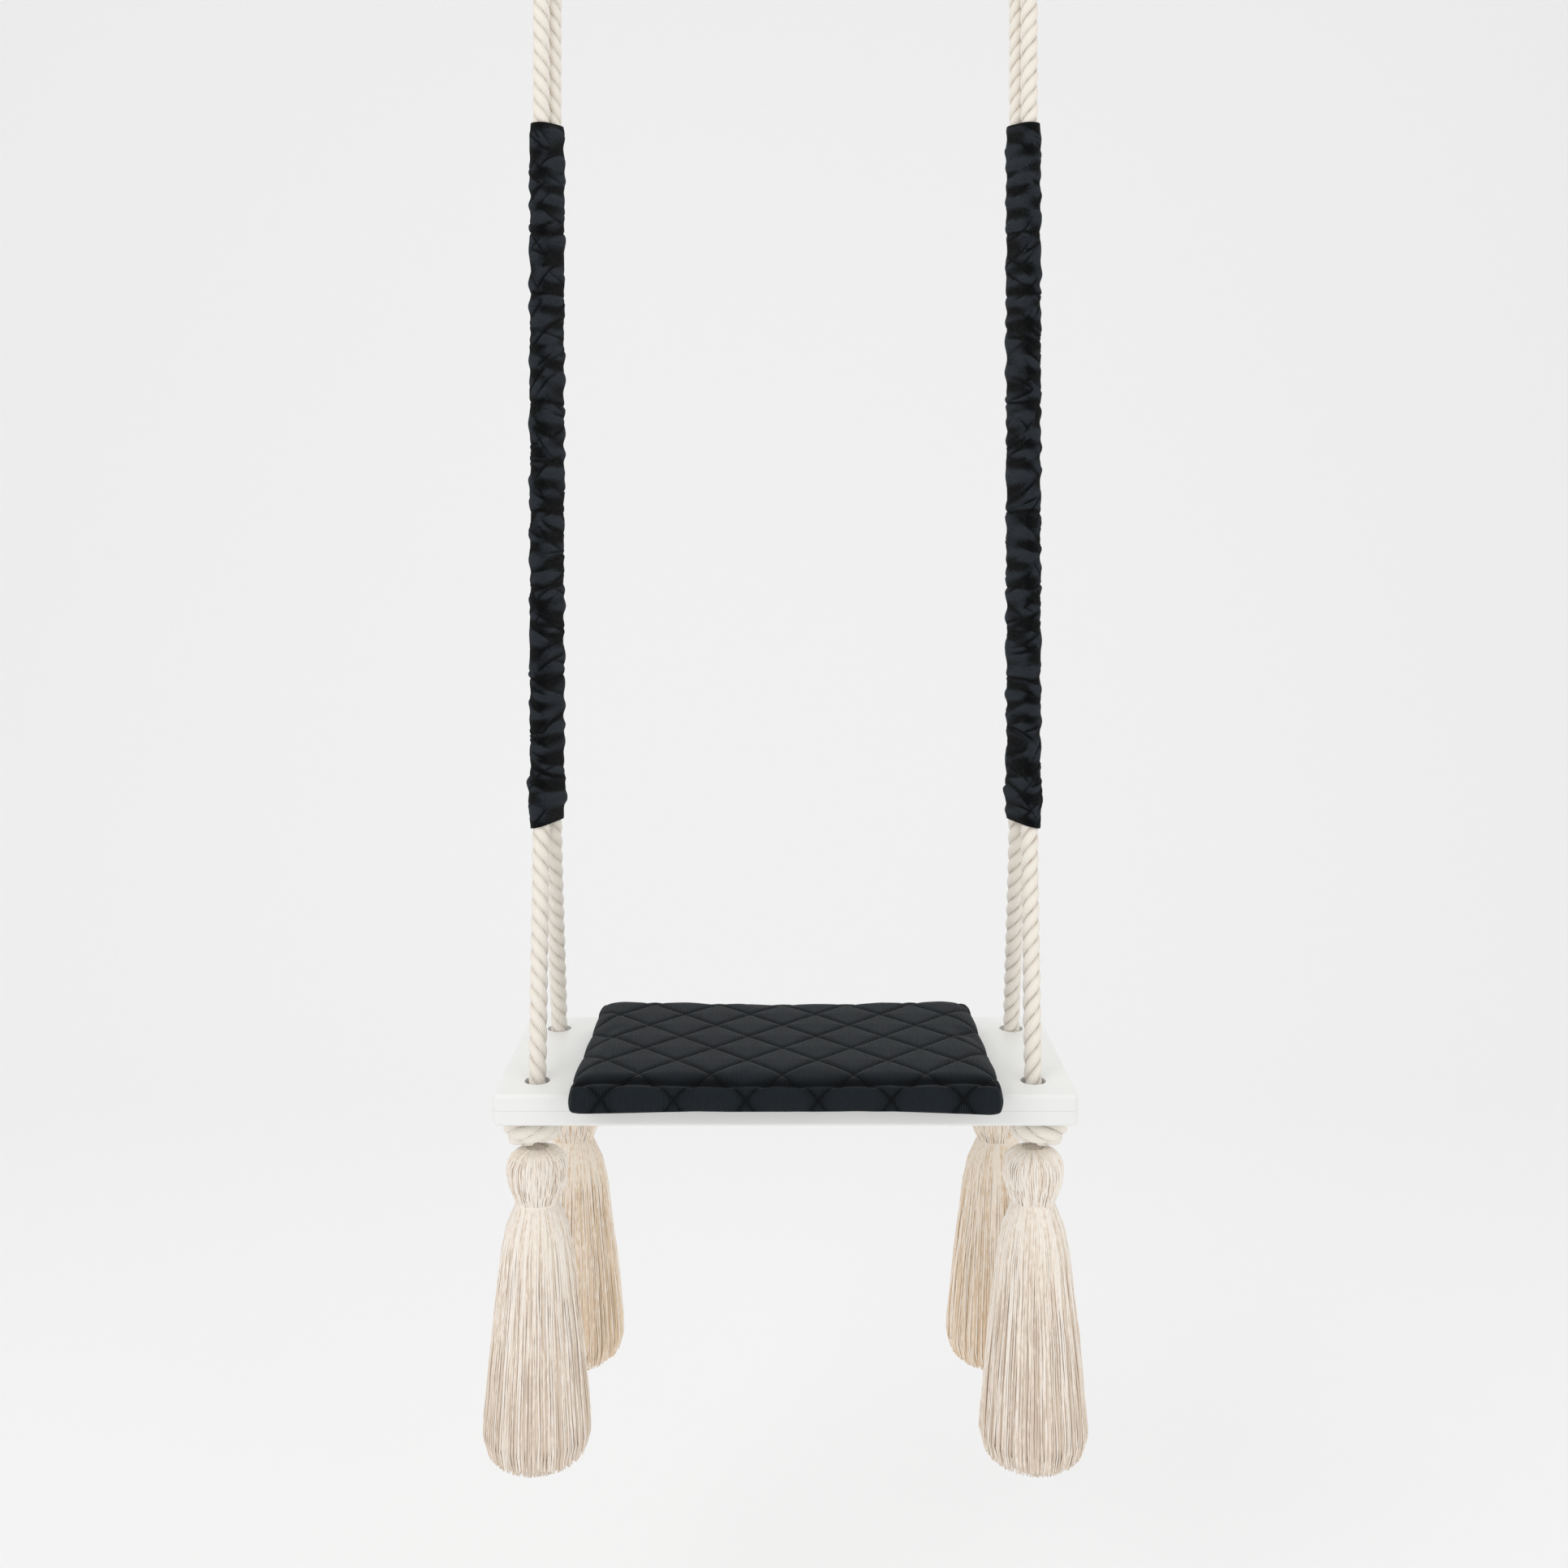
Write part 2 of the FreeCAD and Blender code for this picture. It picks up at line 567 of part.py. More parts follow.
# ---------------------------------------------------------------- knots and tassels
BOARD_FOOT = "-board_drop - board_thickness"
KNOT_FOOT = f"({BOARD_FOOT} - knot_height)"
NECK = "(binding_diameter / 2 - binding_wall - tail_play)"


# outlines as shares: (share of the diameter, share of the height)
KNOT_OUTLINE = ((0.21, 0.07), (0.40, 0.26), (0.50, 0.52), (0.46, 0.78), (0.33, 1.00))
HEAD_OUTLINE = ((0.39, 0.15), (0.50, 0.36), (0.50, 0.56), (0.41, 0.82), (0.29, 0.96))
SKIRT_OUTLINE = ((0.41, 0.55), (0.30, 0.85))
FOOT_SWELL = (0.45, 0.45)            # lower turn of the skirt, its height as a share of the belly's


def outline(shares, diameter, height, foot="0"):
    """Outline points as formulas, from shares of a diameter and of a height above a foot."""
    return [(f"{wide} * {diameter}", f"{foot} + {high} * ({height})") for wide, high in shares]


def knot_and_tassel(end, y_sign, side, x_sign):
    """A stopper knot under the board and the yarn tassel bound to the rope's tail below it."""
    name = f"{end}_{side}"
    y = f"{y_sign} * hole_spacing / 2"
    hole_x = f"{x_sign} * hole_spread / 2"
    inset = "rear_inset" if end == "rear" else "0"
    x = f"{x_sign} * (hole_spread / 2 - {inset})"
    knot = [("0", "0"), *outline(KNOT_OUTLINE, "knot_diameter", "knot_height"), ("0", "knot_height")]
    turned(f"knot_{name}", knot, f"({hole_x} + 2 * {x}) / 3", y, KNOT_FOOT)
    top = f"{KNOT_FOOT} - tassel_gap"
    tail = [
        ("0", "0"), ("rope_diameter / 2", "0"), ("rope_diameter / 2", "tail_length - rope_taper"),
        ("rope_diameter / 2 - rope_taper", "tail_length"), ("0", "tail_length"),
    ]
    turned(f"rope_tail_{name}", tail, x, y, f"{top} - tail_length")
    bore = "rope_diameter / 2 + tail_play"
    head = [
        (bore, "0"), (NECK, "0"), (NECK, "binding_height"),
        *outline(HEAD_OUTLINE, "head_diameter", "head_height - binding_height", "binding_height"),
        (bore, "head_height"),
    ]
    neck_foot = f"({top} - tail_bare - head_height)"
    turned(f"tassel_head_{name}", head, x, y, neck_foot)
    binding = [
        (f"{NECK} + tail_play", "0"), ("binding_diameter / 2 - binding_round", "0"),
        ("binding_diameter / 2", "binding_round"), ("binding_diameter / 2", "binding_height - binding_round"),
        ("binding_diameter / 2 - binding_round", "binding_height"), (f"{NECK} + tail_play", "binding_height"),
    ]
    turned(f"tassel_binding_{name}", binding, x, y, neck_foot)
    swell_wide, swell_high = FOOT_SWELL
    skirt = [
        ("0", "0"), ("skirt_foot / 2", "0"), (f"{swell_wide} * skirt_diameter", f"{swell_high} * skirt_belly"),
        ("skirt_diameter / 2", "skirt_belly"), *outline(SKIRT_OUTLINE, "skirt_diameter", "skirt_length"),
        (NECK, "skirt_length"), ("0", "skirt_length"),
    ]
    turned(f"tassel_skirt_{name}", skirt, x, y, f"{neck_foot} - skirt_length")


# ---------------------------------------------------------------- the whole swing
for side, x_sign in SIDES:
    ceiling_plate(side, x_sign)
    ceiling_eye(side, x_sign)
    snap_hook(side, x_sign)
    hook_gate(side, x_sign)
    gate_pin(side, x_sign)
    thimble(side, x_sign)
    rope(side, x_sign)
    lashings(side, x_sign)
    sleeve(side, x_sign)
seat_board()
cushion()
for end, y_sign in ENDS:
    for side, x_sign in SIDES:
        knot_and_tassel(end, y_sign, side, x_sign)

doc.recompute()
print("loop centre", round(worked_out(LOOP_CENTRE), 3), "loop radius", round(worked_out(LOOP_RADIUS), 3))
print("fore-aft axis", round(worked_out(HOOK_TOP), 3), "hook foot", round(worked_out(HOOK_FOOT), 3),
      "gate pin", round(worked_out(PIN_LEVEL), 3), "knot foot", round(worked_out(KNOT_FOOT), 3))
for item in doc.Objects:
    faults = {"Invalid", "Error"} & set(item.State)
    assert not faults, f"{item.Label}: {item.State}"
os.makedirs("parts", exist_ok=True)
for item in PARTS:
    shape = item.Shape
    assert not shape.isNull() and shape.isValid() and shape.Solids, item.Label
    shape.exportStep(f"parts/{item.Label}.step")
    extent = shape.BoundBox
    print(f"{item.Label:28s} solids {len(shape.Solids)}  volume {shape.Volume / 1000:9.2f} cm3  "
          f"z {extent.ZMin:8.1f} to {extent.ZMax:8.1f}")
print(len(PARTS), "parts")
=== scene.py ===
# %% [markdown]
# # A hanging board swing
# The swing is a painted board with a black quilted cushion. A doubled cotton rope holds it at each end,
# in a gathered black sleeve, and a yarn tassel hangs under each rope knot. This lesson dresses a fixed
# CAD frame, so every size and place is read from that frame, in metres. First the frame is loaded and its
# box is kept.

# %% Load the frame
import bpy
import bmesh
import math
import random
import numpy as np
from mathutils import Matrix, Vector


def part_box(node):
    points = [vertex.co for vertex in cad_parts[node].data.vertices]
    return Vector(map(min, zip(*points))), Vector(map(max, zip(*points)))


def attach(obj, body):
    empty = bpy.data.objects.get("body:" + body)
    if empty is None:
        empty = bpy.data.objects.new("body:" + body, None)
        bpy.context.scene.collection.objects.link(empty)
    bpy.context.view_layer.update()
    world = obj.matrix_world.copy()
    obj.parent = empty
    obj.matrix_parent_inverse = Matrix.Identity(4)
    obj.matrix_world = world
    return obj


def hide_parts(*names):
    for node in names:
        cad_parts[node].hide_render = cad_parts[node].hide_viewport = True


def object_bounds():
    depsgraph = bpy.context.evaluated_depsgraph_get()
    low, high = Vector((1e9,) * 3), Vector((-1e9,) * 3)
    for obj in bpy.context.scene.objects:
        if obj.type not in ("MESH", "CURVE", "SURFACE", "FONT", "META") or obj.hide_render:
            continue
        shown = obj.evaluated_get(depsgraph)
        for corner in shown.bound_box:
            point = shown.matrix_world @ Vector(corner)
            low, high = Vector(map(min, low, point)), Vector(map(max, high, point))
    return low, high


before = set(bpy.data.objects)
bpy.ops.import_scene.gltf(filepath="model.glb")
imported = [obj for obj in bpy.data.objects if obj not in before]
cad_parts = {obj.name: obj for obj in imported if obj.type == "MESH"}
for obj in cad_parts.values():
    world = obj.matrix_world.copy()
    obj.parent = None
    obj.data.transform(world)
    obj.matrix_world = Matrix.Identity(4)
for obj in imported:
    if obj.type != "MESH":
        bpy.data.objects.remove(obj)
cad_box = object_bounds()
board_low, board_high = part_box("seat_board")
BOARD_TOP = board_high[2]
BOARD_FRONT = board_low[1]
SIDES = (("left", -1), ("right", 1))
ENDS = (("front", -1), ("rear", 1))
CORNERS = [(f"{end}_{side}", y_sign, x_sign) for end, y_sign in ENDS for side, x_sign in SIDES]
print("CAD box", [[round(value, 3) for value in corner] for corner in cad_box])

# %% [markdown]
# ## The camera and the room
# The ropes stay upright and parallel in the view, which happens only when the camera is level. A level
# camera that stands above the seat would cut the tassels off, so the lens is shifted down, as an
# architect does with a tall building. The place is worked out from the board: the viewer stands about
# 1.3 m in front of it.

# %% Camera
LENS_MM = 39.45
CAMERA_IN_FRONT = 1.3143
CAMERA_ABOVE_BOARD = 0.460
LENS_SHIFT = -0.1848
LENS_SIDE_SHIFT = -0.0008

camera_data = bpy.data.cameras.new("camera")
camera_data.lens = LENS_MM
camera_data.sensor_width = 36
camera_data.shift_x = LENS_SIDE_SHIFT
camera_data.shift_y = LENS_SHIFT
camera = bpy.data.objects.new("camera", camera_data)
camera.location = (0, BOARD_FRONT - CAMERA_IN_FRONT, BOARD_TOP + CAMERA_ABOVE_BOARD)
camera.rotation_euler = (math.pi / 2, 0, 0)
bpy.context.scene.collection.objects.link(camera)
bpy.context.scene.camera = camera
print("camera", [round(value, 3) for value in camera.location])

# %% [markdown]
# ## Small helpers
# Colours are written as the hex values that a paint chart gives, and one function turns them to the
# linear numbers that shaders use. One helper adds a shader node with its settings and links. One more
# starts every material.

# %% Helpers for materials
def linear(hex_colour):
    """An sRGB hex colour as linear red, green, blue and alpha."""
    channels = [int(hex_colour[i:i + 2], 16) / 255 for i in (1, 3, 5)]
    return [c / 12.92 if c <= 0.04045 else ((c + 0.055) / 1.055) ** 2.4 for c in channels] + [1.0]


def add_node(tree, kind, settings=None, **inputs):
    """Adds a shader node. Each input is a value, or a socket that it is linked from."""
    node = tree.nodes.new("ShaderNode" + kind)
    for name, value in (settings or {}).items():
        setattr(node, name, value)
    for name, value in inputs.items():
        socket = node.inputs[int(name[1:])] if name[1:].isdigit() else node.inputs[name.replace("_", " ")]
        if isinstance(value, bpy.types.NodeSocket):
            tree.links.new(value, socket)
        else:
            socket.default_value = value
    return node


def start_material(name, **surface):
    """A material with one Principled surface, whose plain numbers sit on its own sockets."""
    material = bpy.data.materials.new(name)
    material.use_nodes = True
    tree = material.node_tree
    shader = tree.nodes["Principled BSDF"]
    for socket, value in surface.items():
        shader.inputs[socket.replace("_", " ")].default_value = value
    return material, tree, shader


def colour_ramp(tree, factor, *stops):
    """A ramp between hex colours; stops are (place, colour)."""
    ramp = add_node(tree, "ValToRGB", Fac=factor)
    while len(ramp.color_ramp.elements) < len(stops):
        ramp.color_ramp.elements.new(0.5)
    for element, (place, colour) in zip(ramp.color_ramp.elements, stops):
        element.position = place
        element.color = linear(colour)
    return ramp.outputs["Color"]


# %% [markdown]
# ## A plain pale room
# A product stands before a paper sweep: one sheet that is the floor and, in one bend, the wall. Its
# profile is a short line of points, rounded with a bevel on its fold and extruded sideways. Three large
# soft lamps and a bright even sky light it, so that shadows stay faint.

# %% Room
SWEEP_FLOOR = cad_box[0][2] - 0.30
SWEEP_WALL = 3.2            # how far behind the swing the wall stands
SWEEP_BEND = 1.6
SWEEP_HALF_WIDTH = 9
SWEEP_FRONT = -4
SWEEP_TOP = 5
SKY_STRENGTH = 0.83
room_mesh = bmesh.new()
profile = [room_mesh.verts.new(point) for point in (
    (-SWEEP_HALF_WIDTH, SWEEP_FRONT, SWEEP_FLOOR), (-SWEEP_HALF_WIDTH, SWEEP_WALL, SWEEP_FLOOR),
    (-SWEEP_HALF_WIDTH, SWEEP_WALL, SWEEP_TOP))]
profile_edges = [room_mesh.edges.new(profile[i:i + 2]) for i in range(2)]
bmesh.ops.bevel(room_mesh, geom=[profile[1]], offset=SWEEP_BEND, offset_type="OFFSET", segments=24,
                profile=0.5, affect="VERTICES", material=-1)
swept = bmesh.ops.extrude_edge_only(room_mesh, edges=room_mesh.edges[:])
bmesh.ops.translate(room_mesh, vec=(2 * SWEEP_HALF_WIDTH, 0, 0),
                    verts=[v for v in swept["geom"] if isinstance(v, bmesh.types.BMVert)])
bmesh.ops.recalc_face_normals(room_mesh, faces=room_mesh.faces[:])
room_data = bpy.data.meshes.new("paper_sweep")
room_mesh.to_mesh(room_data)
room_mesh.free()
room_data.shade_smooth()
room = bpy.data.objects.new("paper_sweep", room_data)
bpy.context.scene.collection.objects.link(room)
paper, _, _ = start_material("background_paper", Base_Color=linear("#f8f8f8"), Roughness=1.0,
                             Specular_IOR_Level=0.0)
room_data.materials.append(paper)

world = bpy.data.worlds.new("soft_sky")
world.use_nodes = True
world.node_tree.nodes["Background"].inputs["Color"].default_value = (1, 1, 1, 1)
world.node_tree.nodes["Background"].inputs["Strength"].default_value = SKY_STRENGTH
bpy.context.scene.world = world
bpy.context.scene.view_settings.view_transform = "Standard"


def soft_lamp(name, place, aim, width, power):
    """A square area lamp that looks at a point."""
    data = bpy.data.lights.new(name, "AREA")
    data.size = width
    data.energy = power
    lamp = bpy.data.objects.new(name, data)
    lamp.location = place
    lamp.rotation_euler = (Vector(aim) - Vector(place)).to_track_quat("-Z", "Y").to_euler()
    bpy.context.scene.collection.objects.link(lamp)


soft_lamp("key_lamp", (-1.7, -2.3, 0.9), (0, 0, -0.8), 1.8, 17)
soft_lamp("fill_lamp", (2.0, -2.2, 0.1), (0, 0, -0.9), 1.8, 8)
soft_lamp("top_lamp", (0, 0.3, 1.4), (0, 0, -1.1), 1.6, 7)
print("room floor at", round(SWEEP_FLOOR, 3))

# %% [markdown]
# ## Surfaces from a grid
# Rope, cloth and yarn are all skins that run round or along something. Each starts as a flat grid. One
# function lays the grid in place with a formula of (round, along), keeps those two numbers as its UV map,
# and welds the seam where the sheet meets itself.

# %% Helper for skins
WELD = 1e-6                 # points nearer than this become one


def weld_seam(mesh, distance):
    """Merges the vertices that lie on each other and turns the faces outwards."""
    skin = bmesh.new()
    skin.from_mesh(mesh)
    bmesh.ops.remove_doubles(skin, verts=skin.verts[:], dist=distance)
    bmesh.ops.recalc_face_normals(skin, faces=skin.faces[:])
    skin.to_mesh(mesh)
    skin.free()


def lay_grid(name, around, along, where, body, material, weld=WELD):
    """A grid of around x along cells laid by where(u, v), with u and v from 0 to 1 kept as its UV map."""
    skin = bmesh.new()
    bmesh.ops.create_grid(skin, x_segments=around, y_segments=along, size=1)
    mesh = bpy.data.meshes.new(name)
    skin.to_mesh(mesh)
    skin.free()
    flat = np.empty(len(mesh.vertices) * 3)
    mesh.vertices.foreach_get("co", flat)
    u, v = (flat.reshape(-1, 3)[:, :2].T + 1) / 2
    corners = np.empty(len(mesh.loops), dtype=np.int32)
    mesh.loops.foreach_get("vertex_index", corners)
    layer = mesh.uv_layers.new(name="UVMap")
    layer.data.foreach_set("uv", np.column_stack((u[corners], v[corners])).ravel())
    mesh.vertices.foreach_set("co", np.asarray(where(u, v), dtype=float).ravel())
    if weld:
        weld_seam(mesh, weld)
    mesh.shade_smooth()
    mesh.materials.append(material)
    piece = bpy.data.objects.new(name, mesh)
    bpy.context.scene.collection.objects.link(piece)
    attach(piece, body)
    return piece


def smooth_route(points):
    """The points of the smooth line that a NURBS spline draws through its control points."""
    curve = bpy.data.curves.new("route", "CURVE")
    curve.dimensions = "3D"
    curve.resolution_u = 24
    spline = curve.splines.new("NURBS")
    spline.points.add(len(points) - 1)
    for control, place in zip(spline.points, points):
        control.co = (*place, 1)
    spline.order_u = 3
    spline.use_endpoint_u = True
    holder = bpy.data.objects.new("route", curve)
    line = bpy.data.meshes.new_from_object(holder)
    path = np.array([vertex.co[:] for vertex in line.vertices])
    bpy.data.objects.remove(holder)
    bpy.data.curves.remove(curve)
    return path


def frames_along(path, steps):
    """Even places along a path, each with two cross directions that never spin about the line."""
    gaps = np.linalg.norm(np.diff(path, axis=0), axis=1)
    run = np.concatenate(([0], np.cumsum(gaps)))
    even = np.linspace(0, run[-1], steps + 1)
    spots = np.column_stack([np.interp(even, run, path[:, k]) for k in range(3)])
    heading = np.gradient(spots, axis=0)
    heading /= np.linalg.norm(heading, axis=1)[:, None]
    side = np.zeros_like(spots)
    start = np.cross(heading[0], (0.31, 0.95, 0.05))
    side[0] = start / np.linalg.norm(start)
    for index in range(1, len(spots)):
        carried = side[index - 1] - heading[index] * side[index - 1].dot(heading[index])
        side[index] = carried / np.linalg.norm(carried)
    return spots, side, np.cross(heading, side), run[-1]


# %% [markdown]
# ## Natural cotton yarn
# The rope is undyed cotton. Cotton is matt and slightly fuzzy: high roughness, a little sheen, no mirror
# shine. Each strand is made of thin yarns, which show as fine lines. Their lines come from the rope's own
# UV map, so that they turn with the strands. Soft noise makes some stretches creamier than others. The
# valleys between the strands are painted darker: painted shade.

# %% Rope material
ROPE_DIAMETER = 0.014
ROPE_WIDTH = 0.0146         # over the strands' crowns
ROPE_LAY = 0.040            # one full turn of a strand takes this length
HOLE_SQUEEZE = 0.05         # share of its width that the rope loses inside a hole
HOLE_REACH = 0.022          # and the length of rope over which it does
YARNS_ROUND = 3 * 8         # yarns that show round the rope


def cotton_rope(name, pale, deep, length, hand):
    """Twisted cotton whose UV runs once round and once along the rope."""
    material, tree, shader = start_material(name, Roughness=0.92, Sheen_Weight=0.25, Sheen_Roughness=0.6,
                                            Specular_IOR_Level=0.25)
    uv = add_node(tree, "UVMap", {"uv_map": "UVMap"})
    axes = add_node(tree, "SeparateXYZ", Vector=uv.outputs["UV"])
    lean = -hand * length / ROPE_LAY * YARNS_ROUND * 0.4
    stripe = add_node(tree, "Math", {"operation": "MULTIPLY"}, _0=axes.outputs["X"],
                      _1=float(YARNS_ROUND))
    drift = add_node(tree, "Math", {"operation": "MULTIPLY"}, _0=axes.outputs["Y"], _1=lean)
    total = add_node(tree, "Math", {"operation": "ADD"}, _0=stripe.outputs[0], _1=drift.outputs[0])
    turn = add_node(tree, "Math", {"operation": "MULTIPLY"}, _0=total.outputs[0], _1=2 * math.pi)
    wave = add_node(tree, "Math", {"operation": "SINE"}, _0=turn.outputs[0])
    place = add_node(tree, "TexCoord")
    fuzz = add_node(tree, "TexNoise", Vector=place.outputs["Object"], Scale=1400.0, Detail=3.0)
    patch = add_node(tree, "TexNoise", Vector=place.outputs["Object"], Scale=90.0, Detail=2.0)
    # how deep each point lies paints the valleys between the strands darker, towards the deep colour:
    # painted shade
    groove_shade = add_node(tree, "Attribute", {"attribute_name": "depth"})
    lit = add_node(tree, "Math", {"operation": "MULTIPLY_ADD"}, _0=wave.outputs[0], _1=0.13,
                   _2=groove_shade.outputs["Fac"])
    mottled = add_node(tree, "Math", {"operation": "MULTIPLY_ADD"}, _0=patch.outputs["Fac"], _1=0.35,
                       _2=lit.outputs[0])
    tint = colour_ramp(tree, mottled.outputs[0], (0.12, deep), (0.40, pale), (1.1, "#f8f1e6"))
    tree.links.new(tint, shader.inputs["Base Color"])
    relief = add_node(tree, "Math", {"operation": "MULTIPLY_ADD"}, _0=fuzz.outputs["Fac"], _1=0.7,
                      _2=wave.outputs[0])
    bump = add_node(tree, "Bump", Strength=0.55, Distance=0.00035, Height=relief.outputs[0])
    tree.links.new(bump.outputs["Normal"], shader.inputs["Normal"])
    return material


# %% [markdown]
# ## The rope
# A three-strand rope's cross-section is three round lobes. As the rope is laid, those lobes turn once in
# every 40 mm. So one skin is swept along the smooth route, and its radius follows the lobes. The left
# rope is laid one way and the right rope the other, because the two halves of the swing mirror each
# other.

# %% Helper for twisted rope
def lobes(angle, count, radius, plump):
    """Radius of a strand bundle: `count` round lobes, each centred a little way out."""
    centre = radius * (1 - plump)
    lobe = radius * plump
    local = np.mod(angle + math.pi / count, 2 * math.pi / count) - math.pi / count
    return centre * np.cos(local) + np.sqrt(lobe ** 2 - (centre * np.sin(local)) ** 2)


def twisted_rope(name, route, width, lay, hand, body, material, strands=3, around=30, step=0.0016,
                 plump=0.68, squeeze=0.0):
    """Sweeps turning lobes along a route; hand is 1 or -1. Keeps how deep each vertex lies as 'depth', for
    the painted shade in the valleys.
    """
    path = smooth_route(route)
    length = np.linalg.norm(np.diff(path, axis=0), axis=1).sum()
    steps = max(12, int(length / step))
    spots, side, over, length = frames_along(path, steps)
    radius = width / 2
    reaches = []

    def where(u, v):
        index = np.rint(v * steps).astype(int)
        angle = u * 2 * math.pi
        turned = angle + hand * 2 * math.pi * length * v / lay
        reach = lobes(turned, strands, radius, plump)
        reaches.append(reach)
        reach = reach * (1 - squeeze * np.clip(2 - np.minimum(v, 1 - v) * length / HOLE_REACH, 0, 1))
        return spots[index] + reach[:, None] * (np.cos(angle)[:, None] * side[index]
                                                + np.sin(angle)[:, None] * over[index])

    piece = lay_grid(name, around, steps, where, body, material, weld=0)
    valley = lobes(np.array([math.pi / strands]), strands, radius, plump)[0]
    layer = piece.data.attributes.new("depth", "FLOAT", "POINT")
    layer.data.foreach_set("value", np.clip((reaches[0] - valley) / (radius - valley), 0, 1))
    weld_seam(piece.data, WELD)
    return piece, path, length


# %% Ropes
# The route repeats the CAD rope's corners: up from the front hole, in to the lashing, round the thimble
# and down to the rear hole. One more point near each end of a long straight stretch keeps it straight.
ROPE_ROUTE = (
    (0.1945, -0.0660, -1.1232), (0.1945, -0.0660, -1.0990), (0.1969, -0.0400, -1.0193),
    (0.2000, -0.0059, -0.9150), (0.2000, -0.0059, -0.8050), (0.2000, -0.0059, -0.2800),
    (0.2000, -0.0059, -0.1920), (0.1960, -0.0260, -0.1066), (0.1960, -0.0116, -0.0884),
    (0.1960, 0.0116, -0.0884), (0.1960, 0.0260, -0.1066), (0.1920, 0.0059, -0.1920),
    (0.1920, 0.0059, -0.2800), (0.1920, 0.0059, -0.8050), (0.1920, 0.0059, -0.9150),
    (0.1934, 0.0400, -1.0193), (0.1945, 0.0660, -1.0990), (0.1945, 0.0660, -1.1232),
)
ROPE_LENGTH = 2.12
rope_paths = {}
for side_name, x_sign in SIDES:
    route = [(x_sign * out, y, z) for out, y, z in ROPE_ROUTE]
    cotton = cotton_rope(f"twisted_cotton_{side_name}", "#ebe2d6", "#98836b", ROPE_LENGTH, -x_sign)
    rope, rope_path, drawn_length = twisted_rope(f"twisted_rope_{side_name}", route, ROPE_WIDTH, ROPE_LAY,
                                                 -x_sign, f"line_{side_name}", cotton,
                                                 squeeze=HOLE_SQUEEZE)
    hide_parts(f"rope_{side_name}")
    rope_paths[side_name] = rope_path
    print(rope.name, "length", round(drawn_length, 3), "faces", len(rope.data.polygons))


# %% [markdown]
# ## Cloth for the sleeves
# The sleeves are smooth black cloth, closely woven. The weave is far finer than a fold, so it only breaks
# up the shine. Where folds stand out the colour is painted a little lighter, and the creases between them
# are painted darkest: painted light and shade.

# %% Sleeve material
def black_cloth():
    material, tree, shader = start_material("black_woven_cloth", Roughness=0.8, Sheen_Weight=0.06,
                                            Sheen_Roughness=0.5, Specular_IOR_Level=0.05)
    place = add_node(tree, "TexCoord")
    uv = add_node(tree, "UVMap", {"uv_map": "UVMap"})
    # how far the cloth stands out paints it lighter on the bulges and darker in the creases: painted light
    # and shade
    fold_shade = add_node(tree, "Attribute", {"attribute_name": "fold_shade"})
    patch = add_node(tree, "TexNoise", Vector=place.outputs["Object"], Scale=60.0, Detail=3.0)
    lift = add_node(tree, "Math", {"operation": "MULTIPLY_ADD"}, _0=patch.outputs["Fac"], _1=0.3,
                    _2=fold_shade.outputs["Fac"])
    # hair creases between the folds: the valleys of a stretched, bent noise, a few millimetres apart. They
    # are pressed in by the bump and also painted darker: painted shade.
    pulled = add_node(tree, "Mapping", Vector=place.outputs["Object"], Scale=(70.0, 70.0, 150.0))
    bent = add_node(tree, "TexNoise", Vector=pulled.outputs[0], Scale=1.0, Detail=3.0, Distortion=1.6)
    valley = add_node(tree, "Math", {"operation": "PINGPONG"}, _0=bent.outputs["Fac"], _1=0.11)
    crease = add_node(tree, "MapRange", _0=valley.outputs[0], _1=0.0, _2=0.03, _3=0.0, _4=1.0)
    crease_shaded = add_node(tree, "Math", {"operation": "MULTIPLY_ADD"}, _0=crease.outputs[0], _1=0.22,
                       _2=lift.outputs[0])
    tint = colour_ramp(tree, crease_shaded.outputs[0], (0.26, "#000001"), (0.64, "#06080a"), (1.15, "#2b3036"))
    tree.links.new(tint, shader.inputs["Base Color"])
    # threads about 0.5 mm apart: 200 round the sleeve and 1200 along it
    threads = add_node(tree, "Mapping", Vector=uv.outputs["UV"], Scale=(200.0, 1200.0, 1.0))
    weave = add_node(tree, "TexChecker", Vector=threads.outputs[0], Scale=1.0)
    fine = add_node(tree, "TexNoise", Vector=place.outputs["Object"], Scale=900.0, Detail=2.0)
    threads_up = add_node(tree, "Math", {"operation": "ADD"}, _0=weave.outputs["Fac"],
                          _1=fine.outputs["Fac"])
    relief = add_node(tree, "Math", {"operation": "MULTIPLY_ADD"}, _0=crease.outputs[0], _1=5.0,
                      _2=threads_up.outputs[0])
    bump = add_node(tree, "Bump", Strength=0.8, Distance=0.0002, Height=relief.outputs[0])
    tree.links.new(bump.outputs["Normal"], shader.inputs["Normal"])
    return material


# %% [markdown]
# ## Gathered sleeves
# Each sleeve was sewn as a tube longer than the stretch of rope that it covers, and pushed together. So
# its cloth buckles into soft bulges that are parted by many short, sharp creases. Most creases slant, a
# few run level all the way round, and in some places five lie close together as pleats. The section is
# an oval that follows both legs of the rope. Each crease has one steep side and one easy side, as
# overlapping cloth does.

